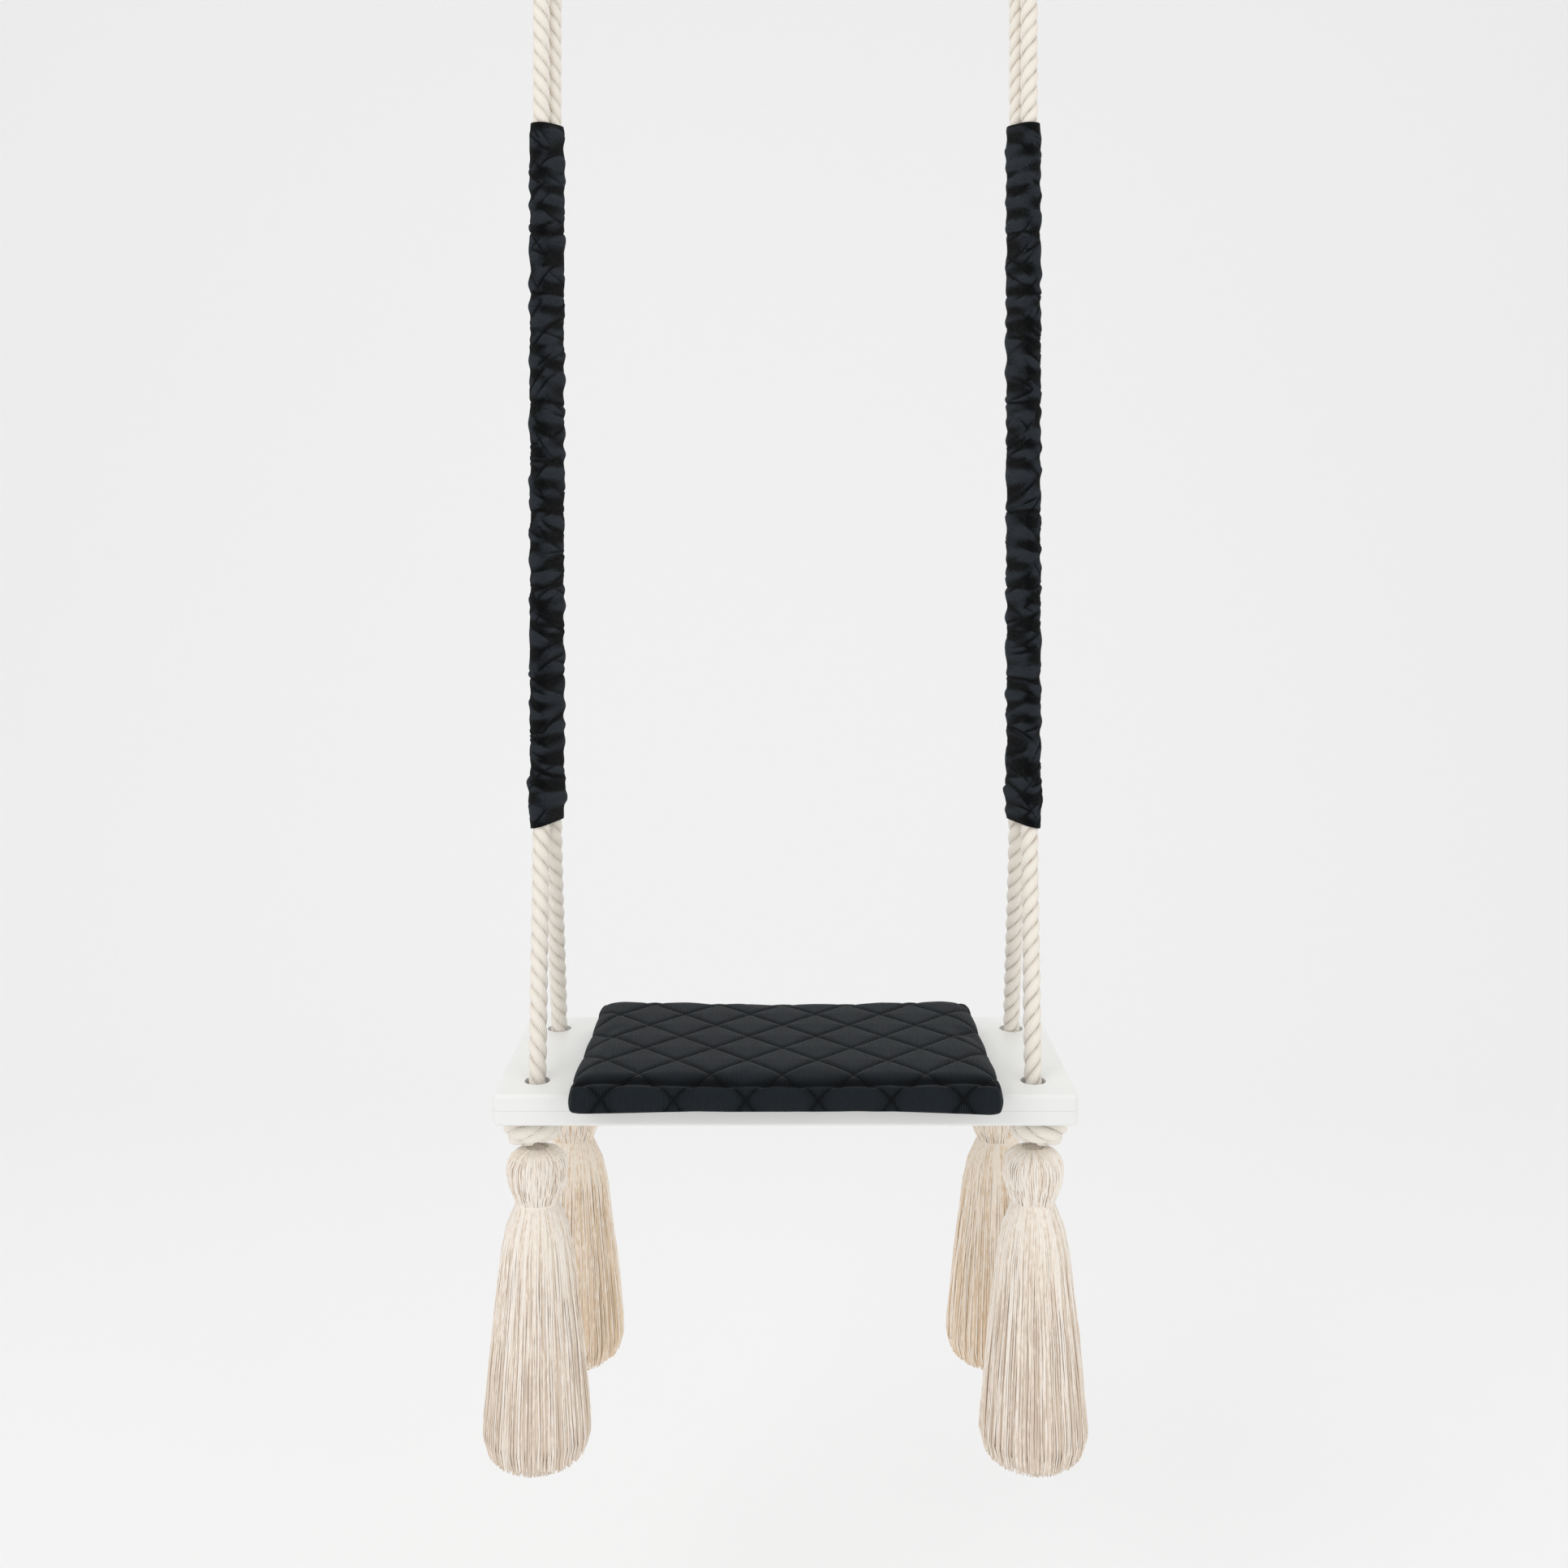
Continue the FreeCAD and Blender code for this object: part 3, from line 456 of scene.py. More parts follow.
# %% Helper for sleeves
SLEEVE_FOOT, SLEEVE_TOP = (corner[2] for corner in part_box("sleeve_left"))
SLEEVE_GIRTH = 0.095
SLEEVE_AROUND = 64
SLEEVE_ALONG = 730
HEM_DROP = 0.0022           # the lower hem hangs this much lower on its outer side
CLOTH_CLEAR = 0.0012        # cloth at the bottom of a crease, off the rope
BULGE = 0.0024              # how far cloth stands out between creases
CLOTH_WALL = 0.0005
HEM_LENGTH = 0.007          # stretch at each end where the cloth lies flat
TOP_CLEAR, ENDS_CLEAR = 0.0035, 0.0060              # what the drawn cloth leaves free of the CAD sleeve
LASHING_LIFT = 0.0013       # how far the lower lashing pushes the cloth out
LASHING_SLOPE = 0.004       # and over what length this fades
LASHING_FOOT, LASHING_TOP = (corner[2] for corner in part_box("lower_lashing_left"))
CREASES = 190
RINGS = (0.155, 0.245, 0.40, 0.555, 0.66, 0.79)     # level creases, as shares of the length from the top
PLEATS = (0.30, 0.475, 0.60, 0.72, 0.87, 0.93)      # where creases lie close together


def leg_centres(path, heights):
    """Both rope legs' middles at the given heights."""
    turn = int(path[:, 2].argmax())
    legs = (path[:turn + 1], path[turn:][::-1])
    return [np.column_stack([np.interp(heights, leg[:, 2], leg[:, k]) for k in (0, 1)]) for leg in legs]


def crease_list(seed, length):
    """Creases as (down, across, slant, half reach, width, depth, bow)."""
    chance = random.Random(seed)
    creases = []
    for number in range(CREASES):
        creases.append(((number + chance.uniform(-0.5, 0.5)) / CREASES * length,
                        chance.uniform(0, SLEEVE_GIRTH),
                        chance.choice((-1, 1)) * chance.uniform(0.2, 1.1), chance.uniform(0.006, 0.016),
                        chance.uniform(0.0007, 0.0013), chance.uniform(0.6, 1.0), chance.uniform(-9, 9)))
    for share in PLEATS:
        slant = chance.choice((-1, 1)) * chance.uniform(0.1, 0.6)
        across = chance.uniform(0, SLEEVE_GIRTH)
        for number in range(5):
            creases.append((share * length + (number - 2) * chance.uniform(0.0038, 0.0052),
                            across + chance.uniform(-0.012, 0.012), slant + chance.uniform(-0.15, 0.15),
                            chance.uniform(0.014, 0.024), chance.uniform(0.0010, 0.0016),
                            chance.uniform(0.7, 1.0), chance.uniform(-6, 6)))
    return creases


def standing_cloth(across, down, seed, length):
    """How far gathered cloth stands out, from 0 in a crease to 1 on a bulge."""
    hollow = np.zeros_like(across)
    for at, round_at, slant, reach, width, depth, bow in crease_list(seed, length):
        along = np.mod(across - round_at + SLEEVE_GIRTH / 2, SLEEVE_GIRTH) - SLEEVE_GIRTH / 2
        drop = down - at - slant * along - bow * along ** 2
        side = np.where(drop > 0, drop / width, -drop / (2.8 * width))
        hollow = np.maximum(hollow, depth * np.exp(-side ** 1.3) * np.exp(-(along / reach) ** 4))
    angle = across / SLEEVE_GIRTH * 2 * math.pi
    for share in RINGS:
        line = (down - share * length + 0.0014 * np.sin(angle + share * 40)
                + 0.0008 * np.sin(angle * 3 + share * 90))
        hollow = np.maximum(hollow, 0.9 * np.exp(-np.abs(line / 0.0016) ** 1.3))
    swell = (0.56 + 0.22 * np.sin(down * 330 + 2.0 * np.sin(down * 57 + seed) + angle)
             + 0.22 * np.sin(down * 214 - 2 * angle + 1.5 * np.sin(down * 91) + 2 * seed))
    return swell * (1 - hollow)


def gathered_sleeve(side_name, x_sign, seed, cloth):
    path = rope_paths[side_name]
    length = SLEEVE_TOP - SLEEVE_FOOT
    fold_shades = []

    def where(u, v):
        angle = u * 2 * math.pi
        down = (1 - v) * length
        stand = standing_cloth(u * SLEEVE_GIRTH, down, seed, length)
        hem = np.clip(np.minimum(down, length - down) / HEM_LENGTH, 0, 1)
        stand = stand * (0.10 + 0.90 * hem) + 0.12 * (1 - hem)
        fold_shades.append(stand)
        tilt = HEM_DROP * np.clip((down / length - 0.9) / 0.1, 0, 1) ** 2
        height = SLEEVE_TOP - TOP_CLEAR - down * (length - ENDS_CLEAR) / length
        height = height - tilt * x_sign * np.cos(angle)
        front, rear = leg_centres(path, height)
        middle, half = (front + rear) / 2, (front - rear) / 2
        reach = np.linalg.norm(half, axis=1)
        axis = half / reach[:, None]
        cross = np.column_stack((-axis[:, 1], axis[:, 0]))
        local = angle - np.arctan2(axis[:, 1], axis[:, 0])
        beyond = np.maximum(height - LASHING_TOP, LASHING_FOOT - height)
        over_lashing = np.clip(1 - beyond / LASHING_SLOPE, 0, 1)
        radius = ROPE_DIAMETER / 2 + CLOTH_CLEAR + BULGE * stand + LASHING_LIFT * over_lashing
        along = radius * np.cos(local) + reach * np.tanh(3.2 * np.cos(local))
        over = radius * np.sin(local) * 1.05
        return np.column_stack((middle + along[:, None] * axis + over[:, None] * cross, height))

    sleeve = lay_grid(f"gathered_sleeve_{side_name}", SLEEVE_AROUND, SLEEVE_ALONG, where,
                      f"sleeve_{side_name}", cloth, weld=0)
    # how far the cloth stands out is kept on the sleeve for painted light on the bulges and painted shade in
    # the creases
    layer = sleeve.data.attributes.new("fold_shade", "FLOAT", "POINT")
    layer.data.foreach_set("value", fold_shades[0])
    weld_seam(sleeve.data, WELD)
    wall = sleeve.modifiers.new("cloth_wall", "SOLIDIFY")
    wall.thickness = CLOTH_WALL
    wall.offset = -1
    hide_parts(f"sleeve_{side_name}")
    print(sleeve.name, "faces", len(sleeve.data.polygons))
    return sleeve


# %% Sleeves
sleeve_cloth = black_cloth()
for seed, (side_name, x_sign) in enumerate(SIDES, start=3):
    gathered_sleeve(side_name, x_sign, seed, sleeve_cloth)


# %% [markdown]
# ## The painted board
# The board keeps its CAD shape. It is wood under several coats of white satin paint: nearly smooth, with
# a very faint grain left in the paint, a shine that changes a little from patch to patch, and one hair
# line halfway down its edge where the two plies are glued.

# %% Board paint
def satin_paint():
    material, tree, shader = start_material("white_satin_paint_on_wood", Roughness=0.42, Coat_Weight=0.05)
    place = add_node(tree, "TexCoord")
    stretch = add_node(tree, "Mapping", Vector=place.outputs["Object"], Scale=(6.0, 90.0, 90.0))
    grain = add_node(tree, "TexNoise", Vector=stretch.outputs[0], Scale=3.0, Detail=5.0)
    coat = add_node(tree, "TexNoise", Vector=place.outputs["Object"], Scale=14.0, Detail=2.0)
    axes = add_node(tree, "SeparateXYZ", Vector=place.outputs["Object"])
    middle = (board_low[2] + board_high[2]) / 2
    offset = add_node(tree, "Math", {"operation": "SUBTRACT"}, _0=axes.outputs["Z"], _1=middle)
    near = add_node(tree, "Math", {"operation": "ABSOLUTE"}, _0=offset.outputs[0])
    # the glue line is 0.5 mm wide
    line = add_node(tree, "MapRange", _0=near.outputs[0], _1=0.0001, _2=0.0004, _3=0.0, _4=1.0)
    tone = add_node(tree, "Math", {"operation": "MULTIPLY_ADD"}, _0=grain.outputs["Fac"], _1=0.5,
                    _2=coat.outputs["Fac"])
    paint = colour_ramp(tree, tone.outputs[0], (0.45, "#ecedea"), (0.95, "#f1f1ef"))
    lined = add_node(tree, "Mix", {"data_type": "RGBA"}, _0=line.outputs[0], _6=linear("#dddcd8"),
                     _7=paint)
    tree.links.new(lined.outputs[2], shader.inputs["Base Color"])
    shine = add_node(tree, "MapRange", _0=coat.outputs["Fac"], _1=0.3, _2=0.7, _3=0.36, _4=0.50)
    tree.links.new(shine.outputs[0], shader.inputs["Roughness"])
    bump = add_node(tree, "Bump", Strength=0.12, Distance=0.0003, Height=grain.outputs["Fac"])
    tree.links.new(bump.outputs["Normal"], shader.inputs["Normal"])
    return material


bpy.data.objects["seat_board"].data.materials.clear()
bpy.data.objects["seat_board"].data.materials.append(satin_paint())


# %% [markdown]
# ## Quilted needlecord
# The cushion is covered in black needlecord: fine ribs, about 1.7 mm apart, that run from front to back.
# Two sets of slanting stitch lines cross in diamonds. The material reads the cushion's own UV map, which
# holds each point's place on the cloth in metres, so that ribs and stitches run over the front edge
# without a break.

# %% Cushion material
DIAMOND = 0.0542            # from one crossing of the stitch lines to the next
QUILT_START = 0.0247        # one crossing, sideways from the middle
QUILT_BACK = 0.0088         # and ahead of the front top edge
RIB = 0.0017


def needlecord():
    material, tree, shader = start_material("black_quilted_needlecord", Roughness=0.88, Sheen_Weight=0.10,
                                            Sheen_Roughness=0.4, Specular_IOR_Level=0.08)
    uv = add_node(tree, "UVMap", {"uv_map": "UVMap"})
    axes = add_node(tree, "SeparateXYZ", Vector=uv.outputs["UV"])
    place = add_node(tree, "TexCoord")
    shifted = add_node(tree, "Math", {"operation": "SUBTRACT"}, _0=axes.outputs["X"], _1=QUILT_START)
    back = add_node(tree, "Math", {"operation": "ADD"}, _0=axes.outputs["Y"], _1=QUILT_BACK)
    seams = []
    for operation, other in (("ADD", "SUBTRACT"), ("SUBTRACT", "ADD")):
        across = add_node(tree, "Math", {"operation": operation}, _0=shifted.outputs[0],
                          _1=back.outputs[0])
        along = add_node(tree, "Math", {"operation": other}, _0=shifted.outputs[0], _1=back.outputs[0])
        off = add_node(tree, "Math", {"operation": "PINGPONG"}, _0=across.outputs[0], _1=DIAMOND / 2)
        line = add_node(tree, "MapRange", _0=off.outputs[0], _1=0.0004, _2=0.0013, _3=1.0, _4=0.0)
        # stitches 3.2 mm long, measured along the seam
        stitch = add_node(tree, "Math", {"operation": "PINGPONG"}, _0=along.outputs[0], _1=0.0023)
        dash = add_node(tree, "MapRange", _0=stitch.outputs[0], _1=0.0004, _2=0.0009, _3=0.35, _4=1.0)
        seams.append(add_node(tree, "Math", {"operation": "MULTIPLY"}, _0=line.outputs[0],
                              _1=dash.outputs[0]).outputs[0])
    seam = add_node(tree, "Math", {"operation": "MAXIMUM"}, _0=seams[0], _1=seams[1])
    wander = add_node(tree, "TexNoise", Vector=place.outputs["Object"], Scale=35.0, Detail=2.0)
    turn = add_node(tree, "Math", {"operation": "MULTIPLY"}, _0=axes.outputs["X"], _1=2 * math.pi / RIB)
    bent = add_node(tree, "Math", {"operation": "MULTIPLY_ADD"}, _0=wander.outputs["Fac"], _1=2.5,
                    _2=turn.outputs[0])
    rib = add_node(tree, "Math", {"operation": "SINE"}, _0=bent.outputs[0])
    pile = add_node(tree, "TexNoise", Vector=place.outputs["Object"], Scale=1300.0, Detail=2.0)
    brushed = add_node(tree, "TexNoise", Vector=place.outputs["Object"], Scale=24.0, Detail=4.0)
    # a value kept on the cushion paints the puffs lighter and the stitch channels and the hollow behind the
    # front edge darker: painted light and shade
    puff_shading = add_node(tree, "Attribute", {"attribute_name": "puff_shading"})
    tone = add_node(tree, "Math", {"operation": "MULTIPLY_ADD"}, _0=rib.outputs[0], _1=0.22,
                    _2=puff_shading.outputs["Fac"])
    mixed = add_node(tree, "Math", {"operation": "MULTIPLY_ADD"}, _0=brushed.outputs["Fac"], _1=0.5,
                     _2=tone.outputs[0])
    flecked = add_node(tree, "Math", {"operation": "MULTIPLY_ADD"}, _0=pile.outputs["Fac"], _1=0.25,
                       _2=mixed.outputs[0])
    cloth = colour_ramp(tree, flecked.outputs[0], (0.35, "#0b0d0f"), (0.9, "#14181b"), (1.4, "#1f2428"))
    # the stitch lines are drawn darkest: the dashes are the stitches, and the darkening that runs on between
    # them is painted shade in the pressed line
    stitched_and_shaded = add_node(tree, "Mix", {"data_type": "RGBA"}, _0=seam.outputs[0], _6=cloth,
                    _7=linear("#0b0d0f"))
    tree.links.new(stitched_and_shaded.outputs[2], shader.inputs["Base Color"])
    relief = add_node(tree, "Math", {"operation": "MULTIPLY_ADD"}, _0=pile.outputs["Fac"], _1=0.6,
                      _2=rib.outputs[0])
    sunk = add_node(tree, "Math", {"operation": "MULTIPLY_ADD"}, _0=seam.outputs[0], _1=-3.0,
                    _2=relief.outputs[0])
    bump = add_node(tree, "Bump", Strength=0.6, Distance=0.00035, Height=sunk.outputs[0])
    tree.links.new(bump.outputs["Normal"], shader.inputs["Normal"])
    return material


# %% [markdown]
# ## The quilted cushion
# The cushion is a flat foam pad in a quilted cover. It starts as a closed box with its corners rounded
# off, a little smaller than the pad. A cloth simulation blows it up softly with air pressure, and a cap
# keeps any point from moving far. The cover is then stretched to its full size, made square at the foot,
# and a little narrower and thicker at the back. Last, the stitched lines are pressed in, a hollow is
# pressed behind the front edge, where the cloth folds over the foam, and the overhanging front sags a
# little below the board's top.

# %% Helpers for the cushion
cushion_low, cushion_high = (Vector(corner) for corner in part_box("cushion_cover"))
CUSHION_SHRINK = 0.0018     # the pad swells back by about this much
FOOT_ROUND = 0.007          # the lower edge is drawn square over this height
SWELL_CAP = 0.005
VOXEL = 0.005
BACK_NARROWER = 0.038       # the top is this share narrower at the back
BACK_THICKER = 0.0044       # and the pad this much thicker there
FRONT_WIDER = 0.014         # the foot is this share wider at the front
STITCH_PRESS = 0.0021       # half width of a pressed stitch line
PUFF_RISE = 0.0008          # how far cloth stands out between stitch lines
STITCH_DEPTH = 0.0010
FOLD_DEPTH = 0.0038         # the hollow where the cloth folds over the foam
FOLD_PLACE = 0.0085         # its place behind the front top edge
FOLD_WIDTH = 0.0040
OVERHANG_CLEAR = 0.002      # what lies this far before the board's edge may sag
SAG_REACH = 0.030           # the sag grows over this length
SAG_TOP = 0.0010            # how far the top sags
SAG_FOOT = 0.0062           # and how much further the foot does


def cushion_form():
    """A closed block with rounded upright corners and softened edges."""
    form = bmesh.new()
    bmesh.ops.create_cube(form, size=1)
    size = cushion_high - cushion_low - Vector((2, 2, 1)) * CUSHION_SHRINK
    middle = (cushion_high + cushion_low) / 2
    bmesh.ops.scale(form, vec=size, verts=form.verts[:])
    bmesh.ops.translate(form, vec=middle, verts=form.verts[:])
    upright = [edge for edge in form.edges if abs(edge.verts[0].co.z - edge.verts[1].co.z) > size.z / 2]
    bmesh.ops.bevel(form, geom=upright, offset=0.006, offset_type="OFFSET", segments=5, profile=0.5,
                    affect="EDGES", material=-1)
    rims = [edge for edge in form.edges if abs(edge.verts[0].co.z - edge.verts[1].co.z) < 1e-6
            and len(edge.link_faces) == 2 and abs(edge.calc_face_angle(0)) > 1]
    bmesh.ops.bevel(form, geom=rims, offset=0.0025, offset_type="OFFSET", segments=3, profile=0.5,
                    affect="EDGES", material=-1)
    mesh = bpy.data.meshes.new("quilted_cushion")
    form.to_mesh(mesh)
    form.free()
    piece = bpy.data.objects.new("quilted_cushion", mesh)
    bpy.context.scene.collection.objects.link(piece)
    return piece


def keep_modified(piece):
    """Replaces a piece's mesh with what its modifiers make of it now."""
    made = bpy.data.meshes.new_from_object(piece.evaluated_get(bpy.context.evaluated_depsgraph_get()))
    piece.modifiers.clear()
    piece.data = made


def vertex_places(mesh):
    places = np.empty(len(mesh.vertices) * 3)
    mesh.vertices.foreach_get("co", places)
    return places.reshape(-1, 3)


def inflate(piece, cap):
    """Swells a closed piece by cloth simulation, and moves no point further than the cap."""
    before = vertex_places(piece.data)
    air = piece.modifiers.new("air", "CLOTH")
    air.settings.quality = 6
    air.settings.mass = 0.3
    air.settings.tension_stiffness = 15
    air.settings.compression_stiffness = 15
    air.settings.bending_stiffness = 2
    air.settings.use_pressure = True
    air.settings.uniform_pressure_force = 4
    air.settings.effector_weights.gravity = 0
    for frame_number in range(1, 21):
        bpy.context.scene.frame_set(frame_number)
    keep_modified(piece)
    moved = vertex_places(piece.data) - before
    far = np.linalg.norm(moved, axis=1)
    share = cap * np.tanh(far / cap) / np.maximum(far, 1e-9)
    piece.data.vertices.foreach_set("co", (before + moved * share[:, None]).ravel())
    bpy.context.scene.frame_set(1)
    print("air moved the cover by up to", round(1000 * float((far * share).max()), 1), "mm")


def fill_box(places, low, high):
    """Stretches points to reach a box, because swelling draws a cover's sides in."""
    now_low, now_high = places.min(0), places.max(0)
    return low + (places - now_low) / (now_high - now_low) * np.subtract(high, low)


def square_foot(places):
    """Draws the rounded lower edge out to the crisp edge of a cover cut square at the foot."""
    rise = places[:, 2] - BOARD_TOP
    for axis in (0, 1):
        middle = (places[:, axis].max() + places[:, axis].min()) / 2
        reach = places[:, axis] - middle
        edge = np.abs(reach[rise < FOOT_ROUND]).max()
        out = np.clip((np.abs(reach) - (edge - FOOT_ROUND)) / FOOT_ROUND, 0, 1)
        down = np.clip((FOOT_ROUND - rise) / FOOT_ROUND, 0, 1)
        push = np.hypot(out, down) / np.maximum(np.maximum(out, down), 1e-6) - 1
        places[:, axis] += np.sign(reach) * np.clip(push, 0, 1) * 0.7 * FOOT_ROUND * out * (down > 0)
    return places


def cloth_plan(places, normals):
    """Each point's place on the cloth: sideways, and back from the front top edge, as if laid flat."""
    x, y, z = places.T
    drop = np.clip(cushion_high.z - z, 0, None)
    steep_x = np.clip(np.abs(normals[:, 0]) * 1.6 - 0.3, 0, 1)
    steep_y = np.sign(normals[:, 1]) * np.clip(np.abs(normals[:, 1]) * 1.6 - 0.3, 0, 1)
    return x + np.sign(x) * drop * steep_x, y - cushion_low.y + drop * steep_y


def off_seam(value):
    """Distance from the nearest multiple of a diamond."""
    return np.abs(np.mod(value + DIAMOND / 2, DIAMOND) - DIAMOND / 2) / math.sqrt(2)


# %% Cushion
cushion = cushion_form()
voxels = cushion.modifiers.new("even_cloth", "REMESH")
voxels.mode = "VOXEL"
voxels.voxel_size = VOXEL
keep_modified(cushion)
inflate(cushion, SWELL_CAP)
finer = cushion.modifiers.new("finer", "SUBSURF")
finer.levels = finer.render_levels = 2
keep_modified(cushion)

places = fill_box(vertex_places(cushion.data),
                  (cushion_low.x - 0.0015, cushion_low.y - 0.0005, BOARD_TOP - 0.0010),
                  (cushion_high.x + 0.0015, cushion_high.y, cushion_high.z + 0.0006))
high_share = np.clip((places[:, 2] - BOARD_TOP) / (cushion_high.z - BOARD_TOP), 0, 1)
back_share = (places[:, 1] - cushion_low.y) / (cushion_high.y - cushion_low.y)
places[:, 0] *= 1 - BACK_NARROWER * high_share * back_share
places[:, 2] += BACK_THICKER * high_share * back_share
places[:, 0] *= 1 + FRONT_WIDER * (1 - high_share) * (1 - back_share)
places = square_foot(places)
cushion.data.vertices.foreach_set("co", places.ravel())
cushion.data.update()
normals = np.empty(len(cushion.data.vertices) * 3)
cushion.data.vertex_normals.foreach_get("vector", normals)
normals = normals.reshape(-1, 3)
side_place, back_place = cloth_plan(places, normals)
rise = np.clip((places[:, 2] - cushion_low.z) / 0.006, 0, 1)
near_a = off_seam(side_place - QUILT_START + back_place + QUILT_BACK)
near_b = off_seam(side_place - QUILT_START - back_place - QUILT_BACK)
pressed = np.exp(-(near_a / STITCH_PRESS) ** 2) + np.exp(-(near_b / STITCH_PRESS) ** 2)
puffed = 1 - np.exp(-(np.minimum(near_a, near_b) / 0.010) ** 2)
front_fold = np.exp(-((back_place - FOLD_PLACE) / FOLD_WIDTH) ** 2) * np.clip(normals[:, 2], 0, 1)
height = PUFF_RISE * puffed - STITCH_DEPTH * np.minimum(pressed, 1.2) - FOLD_DEPTH * front_fold
places += normals * (height * rise * np.clip(normals[:, 2] * 4 + 2.5, 0, 1))[:, None]
over = np.clip((BOARD_FRONT - OVERHANG_CLEAR - places[:, 1]) / SAG_REACH, 0, 1)
places[:, 2] -= over * (SAG_TOP + SAG_FOOT * (1 - high_share))
on_board = places[:, 1] > BOARD_FRONT - OVERHANG_CLEAR
places[:, 2] = np.where(on_board, np.maximum(places[:, 2], BOARD_TOP + 0.0002), places[:, 2])
cushion.data.vertices.foreach_set("co", places.ravel())
cushion.data.update()

# the puffs are painted lighter, the stitch channels darker and the hollow behind the front edge much darker:
# painted light and shade
layer = cushion.data.attributes.new("puff_shading", "FLOAT", "POINT")
painted_shading = 0.70 + 0.30 * puffed - 0.35 * np.minimum(pressed, 1) - 0.75 * front_fold
layer.data.foreach_set("value", np.clip(painted_shading, 0, 1))
corners = np.empty(len(cushion.data.loops), dtype=np.int32)
cushion.data.loops.foreach_get("vertex_index", corners)
plan = cushion.data.uv_layers.new(name="UVMap")
plan.data.foreach_set("uv", np.column_stack((side_place[corners], back_place[corners])).ravel())
cushion.data.shade_smooth()
cushion.data.materials.clear()
cushion.data.materials.append(needlecord())
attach(cushion, "cushion")
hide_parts("cushion_cover", "cushion_foam")
print("cushion faces", len(cushion.data.polygons),
      "size", [round(1000 * value) for value in np.ptp(places, axis=0)])


# %% [markdown]
# ## Yarn
# The tassels are cut from many loose cotton yarns. Each yarn has its own shade, and the colour is drawn
# browner lower down. A yarn is a thin four-sided tube, because there are hundreds of them.

# %% Yarn material
def tassel_yarn(name, pale, warm, deep):
    material, tree, shader = start_material(name, Roughness=0.95, Sheen_Weight=0.2, Sheen_Roughness=0.6,
                                            Specular_IOR_Level=0.15)
    place = add_node(tree, "TexCoord")
    axes = add_node(tree, "SeparateXYZ", Vector=place.outputs["Object"])
    shade = add_node(tree, "Attribute", {"attribute_name": "shade"})
    lowered = add_node(tree, "MapRange", _0=axes.outputs["Z"], _1=BOARD_TOP - 0.07, _2=BOARD_TOP - 0.31,
                       _3=0.0, _4=0.30)
    # flecks about 1.5 mm wide and 8 mm long
    drawn = add_node(tree, "Mapping", Vector=place.outputs["Object"], Scale=(650.0, 650.0, 120.0))
    fleck = add_node(tree, "TexNoise", Vector=drawn.outputs[0], Scale=1.0, Detail=3.0)
    own = add_node(tree, "Math", {"operation": "MULTIPLY_ADD"}, _0=shade.outputs["Fac"], _1=0.5,
                   _2=lowered.outputs[0])
    tone = add_node(tree, "Math", {"operation": "MULTIPLY_ADD"}, _0=fleck.outputs["Fac"], _1=0.9,
                    _2=own.outputs[0])
    tint = colour_ramp(tree, tone.outputs[0], (0.3, pale), (0.8, warm), (1.4, deep))
    tree.links.new(tint, shader.inputs["Base Color"])
    bump = add_node(tree, "Bump", Strength=0.4, Distance=0.0002, Height=fleck.outputs["Fac"])
    tree.links.new(bump.outputs["Normal"], shader.inputs["Normal"])
    return material


# %% Helpers for yarn
def yarn_bundle(name, yarns, thick, body, material, seed, round_steps=0):
    """Many thin tubes in one piece; yarns is an array of (yarn, point, xyz)."""
    curve = bpy.data.curves.new(name, "CURVE")
    curve.dimensions = "3D"
    curve.bevel_depth = thick / 2
    curve.bevel_resolution = round_steps
    curve.use_fill_caps = True
    curve.resolution_u = 1
    for points in yarns:
        spline = curve.splines.new("POLY")
        spline.points.add(len(points) - 1)
        spline.points.foreach_set("co", np.column_stack((points, np.ones(len(points)))).ravel())
    holder = bpy.data.objects.new(name, curve)
    mesh = bpy.data.meshes.new_from_object(holder)
    bpy.data.objects.remove(holder)
    bpy.data.curves.remove(curve)
    mesh.name = name
    chance = np.random.default_rng(seed)
    share = len(mesh.vertices) // len(yarns)
    tones = np.resize(np.repeat(chance.random(len(yarns)), share), len(mesh.vertices))
    layer = mesh.attributes.new("shade", "FLOAT", "POINT")
    layer.data.foreach_set("value", tones)
    mesh.shade_smooth()
    mesh.materials.clear()
    mesh.materials.append(material)
    piece = bpy.data.objects.new(name, mesh)
    bpy.context.scene.collection.objects.link(piece)
    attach(piece, body)
    return piece


def wound_cord(name, centre, half, radius, foot, top, thick, body, material, seed):
    """Cord wound in touching turns round one round thing, or round two side by side."""
    turns = max(2, round((top - foot) / thick))
    reach = float(np.hypot(*half))
    axis = np.array(half) / reach if reach else np.array((1.0, 0.0))
    cross = np.array((-axis[1], axis[0]))
    angle = np.linspace(0, 2 * math.pi * turns, 40 * turns + 1)
    along = radius * np.cos(angle) + reach * np.tanh(3.5 * np.cos(angle))
    over = radius * np.sin(angle)
    level = foot + thick / 2 + (top - foot - thick) * np.linspace(0, 1, len(angle))
    plan = np.array(centre) + along[:, None] * axis + over[:, None] * cross
    return yarn_bundle(name, [np.column_stack((plan, level))], thick, body, material, seed, round_steps=2)


# %% [markdown]
# ## Tassels
# A tassel is a head, a bound neck and a skirt. The yarns of the head start at the knot, swell out over
# the rope's tail and draw in at the neck. Those of the skirt spread from the neck, and their ends are
# trimmed to a rounded brush. A closed core of the same yarn fills the inside, so that no daylight shows
# between the yarns.

